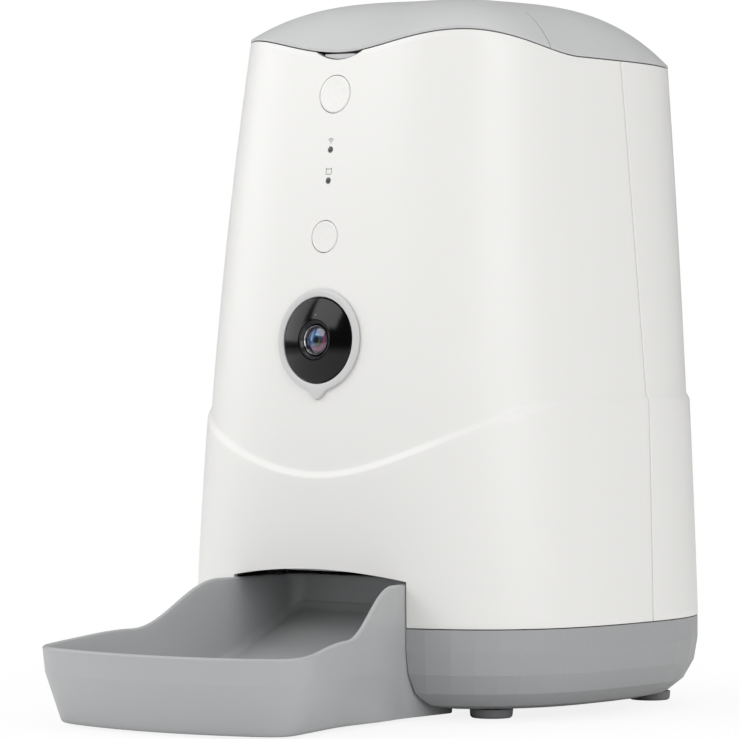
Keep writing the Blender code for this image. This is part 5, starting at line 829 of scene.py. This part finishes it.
def food_tray():
    """Rows round the rim's outline, each moved in by a distance.

    They go from the middle under the floor to the foot, up the outer wall, over the rim, down the inner wall and
    over the floor to the middle.
    """
    rim = tray_rim_outline(190)
    along = np.roll(rim, -1, axis=0) - np.roll(rim, 1, axis=0)
    along /= np.linalg.norm(along, axis=1)[:, None]
    inward = np.stack([-along[:, 1], along[:, 0]], axis=1)
    sides = np.sign(rim[:, 0])
    top = tray_rim_height(rim[:, 1])
    shoulder = top - LIP_RADIUS
    fade = 1 - NECK_STRAIGHTENS * ease((rim[:, 1] + RISE_MIDDLE) / (RISE_MIDDLE - NECK_FRONT))

    def ring(distance, height):
        moved = rim + inward * np.broadcast_to(distance, len(rim))[:, None]
        moved[:, 0] = np.where(moved[:, 0] * sides < 0, 0.0, moved[:, 0])
        return np.column_stack([moved, np.broadcast_to(height, len(rim))])

    def lean(height):
        """How far the outer wall stands in at a height, with the crease a little rounded."""
        low = TRAY_TAPER + (CREASE_INSET - TRAY_TAPER) * (height - TRAY_GAP) / (CREASE - TRAY_GAP)
        high = CREASE_INSET * (top - height) / (top - CREASE)
        blend = ease((height - CREASE + 0.0012) / 0.0024)
        return (low * (1 - blend) + high * blend) * fade

    def middle(points, drop, scale):
        """A row drawn in towards the tray's middle, on the floor or a drop below it."""
        line = points.copy()
        centre = (points[:, 1].min() + points[:, 1].max()) / 2
        line[:, 0] *= scale
        line[:, 1] = centre + (points[:, 1] - centre) * (0.96 + 0.04 * scale)
        line[:, 2] = tray_floor(line[:, 1]) - drop
        return line

    roof = ring(TRAY_TAPER * fade + 0.00216 + WALL, TRAY_GAP)
    roof[:, 2] = tray_floor(roof[:, 1]) - TRAY_FLOOR
    rows = [middle(roof, TRAY_FLOOR, share) for share in (0.0, 0.3, 0.6, 0.85)]
    rows += [roof, ring(TRAY_TAPER * fade + 0.0014 + WALL, TRAY_GAP)]
    rows.append(ring(TRAY_TAPER * fade + 0.0016, TRAY_GAP))
    rows.append(ring((TRAY_TAPER + 0.0007) * fade + 0.0001, TRAY_GAP + 0.0001))
    rows.append(ring((TRAY_TAPER + 0.0001) * fade, TRAY_GAP + 0.0005))
    heights = [TRAY_GAP + 0.0012, *np.linspace(0.004, CREASE - 0.0014, 10)]
    heights += [CREASE + rise for rise in (-0.0008, 0.0, 0.0008, 0.0014)]
    heights += [CREASE + 0.0014 + (shoulder - CREASE - 0.0014) * share for share in np.linspace(0, 1, 12)[1:]]
    rows += [ring(lean(height), height) for height in heights]
    for angle in np.linspace(0, math.pi, 9):
        distance = LIP_RADIUS * (1 - math.cos(angle)) + 0.0001
        rows.append(ring(distance, shoulder + LIP_RADIUS * math.sin(angle)))
    bend_top = tray_floor(rim[:, 1] + inward[:, 1] * (WALL + 0.002)) + FLOOR_ROUND
    for share in np.linspace(1, 0, 14)[1:]:
        height = bend_top + (shoulder - bend_top) * share
        rows.append(ring(WALL + lean(height), height))
    start = WALL + lean(bend_top)
    for angle in np.linspace(0, math.pi / 2, 7)[1:]:
        line = ring(start + FLOOR_ROUND * (1 - math.cos(angle)), TRAY_GAP)
        line[:, 2] = tray_floor(line[:, 1]) + FLOOR_ROUND * (1 - math.sin(angle))
        rows.append(line)
    last = rows[-1]
    rows += [middle(last, 0.0, share) for share in (0.92, 0.75, 0.5, 0.25, 0.0)]
    grid = np.array(rows)
    grid[:, :, 1] += AXIS_Y
    return surface("food_tray_dressed", grid, TRAY_GREY, around=True, sharp=50)


# Camera and keys
def camera_bezel():
    """Ring whose outer edge is drawn out below to a blunt tip, its section rounded at the outer edge."""
    angles = np.linspace(-math.pi, math.pi, 241)[:-1]
    reach = BEZEL_RADIUS + BEZEL_POINT * ease(1 - np.abs(angles) / BEZEL_POINT_ANGLE)
    section = ((0.0, 0.0002), (0.0, 0.0009), (0.02, 0.00118), (0.08, 0.0013), (0.5, 0.00135), (0.86, 0.0013),
               (0.95, 0.00118), (0.985, 0.0009), (1.0, 0.0005), (1.0, 0.0002), (0.0, 0.0002))
    place = facing(CAMERA)
    grid = []
    for share, out in section:
        radius = CAMERA_RADIUS + (reach - CAMERA_RADIUS) * share
        grid.append(place(radius * np.sin(angles), -radius * np.cos(angles), np.full_like(angles, out)))
    return surface("bezel_dressed", grid, BEZEL_GREY, around=True, sharp=60)


def camera_window():
    """Black dome: its height falls from the lens to the rim as the square of the radius."""
    first = (WINDOW_HOLE / WINDOW_RADIUS) ** 2
    profile = [(WINDOW_HOLE, FITTING_BACK), (WINDOW_HOLE, WINDOW_PROUD - 0.0003),
               (WINDOW_HOLE + 0.0001, WINDOW_PROUD)]
    for share in np.linspace(math.sqrt(first), 0.985, 26)[1:]:
        fall = (share ** 2 - first) / (1 - first)
        profile.append((WINDOW_RADIUS * share, WINDOW_PROUD - (WINDOW_PROUD - WINDOW_RIM) * fall))
    profile += [(WINDOW_RADIUS * 0.995, WINDOW_RIM - 0.0001), (WINDOW_RADIUS, WINDOW_RIM - 0.0004),
                (WINDOW_RADIUS, FITTING_BACK)]
    return round_piece("window_dressed", profile, CAMERA, GLOSS, 144, ring=True)


def lens_pieces():
    """Two rings, and the domed glass in them, whose points carry their share of the radius and their side, how
    far they lie towards the upper left, for the painted reflection colours.
    """
    ring = [(0.0067, FITTING_BACK), (0.0067, 0.0020), (0.0069, 0.0024), (0.0076, 0.0030), (0.00785, 0.0034),
            (0.0079, 0.0038), (0.00805, 0.00392), (0.0082, 0.0038), (0.0083, 0.0035), (0.0083, FITTING_BACK)]
    outer = round_piece("lens_ring_dressed", ring, CAMERA, RING_BLACK, 96, ring=True)
    rim = [(0.0056, 0.0006), (0.0057, 0.0020), (0.0059, 0.0026), (0.0061, 0.0028),
           (0.0063, 0.0026), (0.0064, 0.0020), (0.0064, 0.0002), (0.0056, 0.0002)]
    metal = round_piece("lens_rim_dressed", rim, CAMERA, RING_METAL, 96, ring=True)
    glass = [(0.0, 0.0022)] + [(GLASS_RADIUS * s, 0.0022 - 0.0010 * s * s) for s in np.linspace(0, 1, 24)[1:]]
    glass += [(GLASS_RADIUS, FITTING_BACK), (0.0, FITTING_BACK)]
    lens = round_piece("lens_dressed", glass, CAMERA, PAINTED_REFLECTION_LENS, 96)
    mesh = lens.data
    points = np.empty(len(mesh.vertices) * 3)
    mesh.vertices.foreach_get("co", points)
    points = points.reshape(-1, 3)
    tilt = front_tilt(CAMERA)
    offset = points - np.array([0, float(front_y(0, CAMERA)), CAMERA])
    up = offset @ np.array([0, math.sin(tilt), math.cos(tilt)])
    across = offset[:, 0]
    span = mesh.attributes.new("span", "FLOAT", "POINT")
    span.data.foreach_set("value", np.clip(np.hypot(up, across) / GLASS_RADIUS, 0, 1))
    # Side: how far towards the upper left, where the painted reflection turns blue.
    side = mesh.attributes.new("side", "FLOAT", "POINT")
    side.data.foreach_set("value", (up * 0.7 - across * 0.7) / GLASS_RADIUS)
    return outer, metal, lens


def key_profile(radius):
    """Key: a slightly dished face, a rounded edge, a flange behind the wall and a stem."""
    back = -WALL - 2 * GAP
    face = [(0.0, 0.0001)] + [(radius * s, 0.0001 + 0.00012 * s * s) for s in (0.3, 0.55, 0.78, 0.9)]
    edge = [(radius - 0.0004, 0.0002), (radius - 0.00015, 0.0001), (radius, -0.0002), (radius, back)]
    return face + edge + [(radius + 0.001, back), (radius + 0.001, back - 0.001), (0.0022, back - 0.001),
                          (0.0022, back - 0.0032), (0.0, back - 0.0032)]


def light_window(name, height):
    """Small domed window of an indicator light, with its pipe behind."""
    profile = [(0.0, 0.00022), (0.0005, 0.00018), (0.0009, 0.0001), (LIGHT_RADIUS, -0.0001),
               (LIGHT_RADIUS, -0.003), (0.0, -0.003)]
    return round_piece(name, profile, height, LIGHT_DARK, 40)


def mark(name, strokes):
    """Thin printed strokes on the front wall: each runs along a line of points and is evenly wide."""
    made = []
    for number, (points, width) in enumerate(strokes):
        points = np.array(points, float)
        along = np.gradient(points, axis=0)
        along /= np.maximum(np.linalg.norm(along, axis=1), 1e-9)[:, None]
        across = np.stack([-along[:, 1], along[:, 0]], axis=1) * width / 2
        grid = []
        for line in (points - across, points + across):
            grid.append(np.column_stack([line[:, 0], front_y(line[:, 0], line[:, 1]) - 0.00003, line[:, 1]]))
        made.append(surface("%s_%d" % (name, number), grid, MARK))
    return gather(made[0], *made[1:]) if len(made) > 1 else made[0]


def signal_mark(height):
    """Three arcs over a dot."""
    strokes = []
    angles = np.radians(np.linspace(-48, 48, 13))
    for radius in (0.0006, 0.0012, 0.0018):
        arc = np.stack([radius * np.sin(angles), height + radius * np.cos(angles)], axis=1)
        strokes.append((arc, 0.0003))
    strokes.append(([(0, height - 0.0003), (0, height + 0.0002)], 0.0004))
    return mark("signal_mark", strokes)


def food_mark(height):
    """A small box with two ears."""
    side, low, high = 0.0014, height - 0.0011, height + 0.0011
    box = [(-side, low), (side, low), (side, high), (-side, high), (-side, low)]
    strokes = [((start, end), 0.0003) for start, end in zip(box, box[1:])]
    strokes += [([(x, high), (x * 15 / 14, high + 0.0005)], 0.0004) for x in (-side, side)]
    return mark("food_mark", strokes)


def foot(name, x, y):
    """Rubber foot: a rounded disc with a shallow ring in its sole."""
    outside = [(0.0, FOOT_TOP), (FOOT_RADIUS, FOOT_TOP), (0.0089, 0.0008), (0.0082, 0.0), (0.0062, 0.0)]
    profile = softened(outside, 0.0004) + [(0.0059, 0.0003), (0.0050, 0.0003), (0.0047, 0.0), (0.0, 0.0)]
    return turned(name, profile, RUBBER, 48, x, y)


def place_piece(obj, body, *nodes):
    """Rides a body, in the place of its CAD nodes if there are any."""
    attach(obj, body)
    if nodes:
        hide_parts(*nodes)


place_piece(front_shell(), "housing", "front_shell")
place_piece(rear_shell(), "housing", "rear_shell")
flap, cap = lid_pieces()
place_piece(flap, "lid", "lid_flap")
place_piece(cap, "housing", "lid_rear_cap")
place_piece(latch_tab(), "latch", "latch_button")
place_piece(food_tray(), "tray", "food_tray")
place_piece(camera_bezel(), "housing", "camera_bezel")
place_piece(camera_window(), "housing", "camera_window")
ring, rim, glass = lens_pieces()
place_piece(ring, "housing", "lens_ring")
place_piece(rim, "housing")
place_piece(glass, "housing", "camera_lens")
place_piece(round_piece("feed_key_dressed", key_profile(FEED_RADIUS), FEED_BUTTON, KEY_WHITE),
            "feed_key", "feed_button")
place_piece(round_piece("settings_key_dressed", key_profile(SETTINGS_RADIUS), SETTINGS_BUTTON, KEY_WHITE),
            "settings_key", "settings_button")
place_piece(light_window("network_window", NETWORK_LIGHT), "housing")
place_piece(light_window("food_window", FOOD_LIGHT), "housing")
place_piece(signal_mark(0.2416), "housing")
place_piece(food_mark(0.2294), "housing")
dot = [(0.0, 0.0036), (0.0003, 0.00355), (0.0004, 0.0033), (0.0, 0.0033)]
place_piece(round_piece("sensor_dot", dot, CAMERA, RING_METAL, 24, rise=0.0105), "housing")
for name, x, y in (("foot_front_left", -0.0607, -0.0565), ("foot_front_right", 0.0607, -0.0565),
                   ("foot_rear_left", -0.0607, 0.0600), ("foot_rear_right", 0.0607, 0.0600)):
    place_piece(foot(name + "_dressed", x, AXIS_Y + y), "housing", name)


# Stage
def floor_material():
    """Pale floor, mostly plain white where the camera sees it directly, so that it meets the surround unseen."""
    made, tree, shader = new_material("studio_floor")
    noise = tree.nodes.new("ShaderNodeTexNoise")
    noise.inputs["Scale"].default_value = 3.0
    ramp = tree.nodes.new("ShaderNodeMapRange")
    ramp.inputs["To Min"].default_value = 0.86
    ramp.inputs["To Max"].default_value = 0.88
    place = tree.nodes.new("ShaderNodeTexCoord")
    tree.links.new(place.outputs["Object"], noise.inputs["Vector"])
    tree.links.new(noise.outputs["Fac"], ramp.inputs["Value"])
    grey = tree.nodes.new("ShaderNodeCombineColor")
    for channel in ("Red", "Green", "Blue"):
        tree.links.new(ramp.outputs["Result"], grey.inputs[channel])
    tree.links.new(grey.outputs["Color"], shader.inputs["Base Color"])
    shader.inputs["Roughness"].default_value = 0.9
    white = tree.nodes.new("ShaderNodeEmission")
    white.inputs["Strength"].default_value = 1.0
    path = tree.nodes.new("ShaderNodeLightPath")
    distance = tree.nodes.new("ShaderNodeVectorMath")
    distance.operation = "LENGTH"
    tree.links.new(place.outputs["Object"], distance.inputs[0])
    far = tree.nodes.new("ShaderNodeMapRange")
    far.inputs["From Min"].default_value = 0.10
    far.inputs["From Max"].default_value = 0.34
    far.inputs["To Min"].default_value = 0.86
    far.inputs["To Max"].default_value = 1.0
    tree.links.new(distance.outputs["Value"], far.inputs["Value"])
    seen = tree.nodes.new("ShaderNodeMath")
    seen.operation = "MULTIPLY"
    tree.links.new(far.outputs["Result"], seen.inputs[0])
    tree.links.new(path.outputs["Is Camera Ray"], seen.inputs[1])
    mix = tree.nodes.new("ShaderNodeMixShader")
    output = next(node for node in tree.nodes if node.bl_idname == "ShaderNodeOutputMaterial")
    tree.links.new(seen.outputs[0], mix.inputs["Fac"])
    tree.links.new(shader.outputs["BSDF"], mix.inputs[1])
    tree.links.new(white.outputs[0], mix.inputs[2])
    tree.links.new(mix.outputs[0], output.inputs["Surface"])
    return made


def studio_floor():
    """Round floor: rings of points at growing radius."""
    profile = np.stack([np.linspace(0.0, 6.0, 13), np.zeros(13)], axis=1)
    return turned("studio_floor", profile, floor_material(), 64)


studio_floor()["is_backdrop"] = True


def area_light(name, place, aim, size, power, colour=(1, 1, 1)):
    data = bpy.data.lights.new(name, "AREA")
    data.shape = "RECTANGLE"
    data.size, data.size_y = size
    data.energy = power
    data.color = colour
    obj = bpy.data.objects.new(name, data)
    bpy.context.scene.collection.objects.link(obj)
    obj.location = place
    direction = np.array(aim, float) - np.array(place, float)
    flat = math.hypot(direction[0], direction[1])
    obj.rotation_euler = (math.atan2(flat, -direction[2]), 0, math.atan2(-direction[0], direction[1]))
    return obj


area_light("key_front_left", (-0.9, -1.6, 1.3), (0, 0, 0.15), (1.2, 1.2), 12.5)
area_light("side_left", (-1.5, -0.5, 0.8), (0, 0, 0.15), (1.0, 1.2), 7)
area_light("fill_right", (1.9, -0.5, 1.0), (0, 0, 0.15), (1.4, 1.4), 15)
area_light("top_soft", (0.1, 0.2, 2.0), (0, 0, 0.1), (1.6, 1.6), 11)


def world_light():
    """Pale surround: what the camera sees directly is white, what lights the object is a soft grey, and what
    shines in gloss is dim."""
    world = bpy.data.worlds.new("studio_surround")
    bpy.context.scene.world = world
    world.use_nodes = True
    tree = world.node_tree
    tree.nodes.clear()
    shades = []
    for colour, strength in (((1, 1, 1, 1), 1.0), ((1.0, 0.995, 0.98, 1), 0.55), ((1.0, 0.995, 0.98, 1), 0.06)):
        shade = tree.nodes.new("ShaderNodeBackground")
        shade.inputs["Color"].default_value = colour
        shade.inputs["Strength"].default_value = strength
        shades.append(shade)
    seen, light, gloss = shades
    path = tree.nodes.new("ShaderNodeLightPath")
    glossy = tree.nodes.new("ShaderNodeMixShader")
    mix = tree.nodes.new("ShaderNodeMixShader")
    output = tree.nodes.new("ShaderNodeOutputWorld")
    tree.links.new(path.outputs["Is Glossy Ray"], glossy.inputs["Fac"])
    tree.links.new(light.outputs[0], glossy.inputs[1])
    tree.links.new(gloss.outputs[0], glossy.inputs[2])
    tree.links.new(path.outputs["Is Camera Ray"], mix.inputs["Fac"])
    tree.links.new(glossy.outputs[0], mix.inputs[1])
    tree.links.new(seen.outputs[0], mix.inputs[2])
    tree.links.new(mix.outputs[0], output.inputs["Surface"])


world_light()


def add_camera():
    data = bpy.data.cameras.new("photo_camera")
    data.lens = 234.3
    data.sensor_width = 36.0
    data.clip_start = 0.1
    data.clip_end = 50
    obj = bpy.data.objects.new("photo_camera", data)
    bpy.context.scene.collection.objects.link(obj)
    obj.location = (1.2626, -1.6192, 0.1757)
    obj.rotation_euler = (math.radians(90 - 0.84), 0, math.radians(38.0))
    bpy.context.scene.camera = obj


add_camera()
bpy.context.scene.view_settings.view_transform = "Standard"

[[[float(value) for value in corner] for corner in box] for box in (CAD_BOX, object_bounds())]
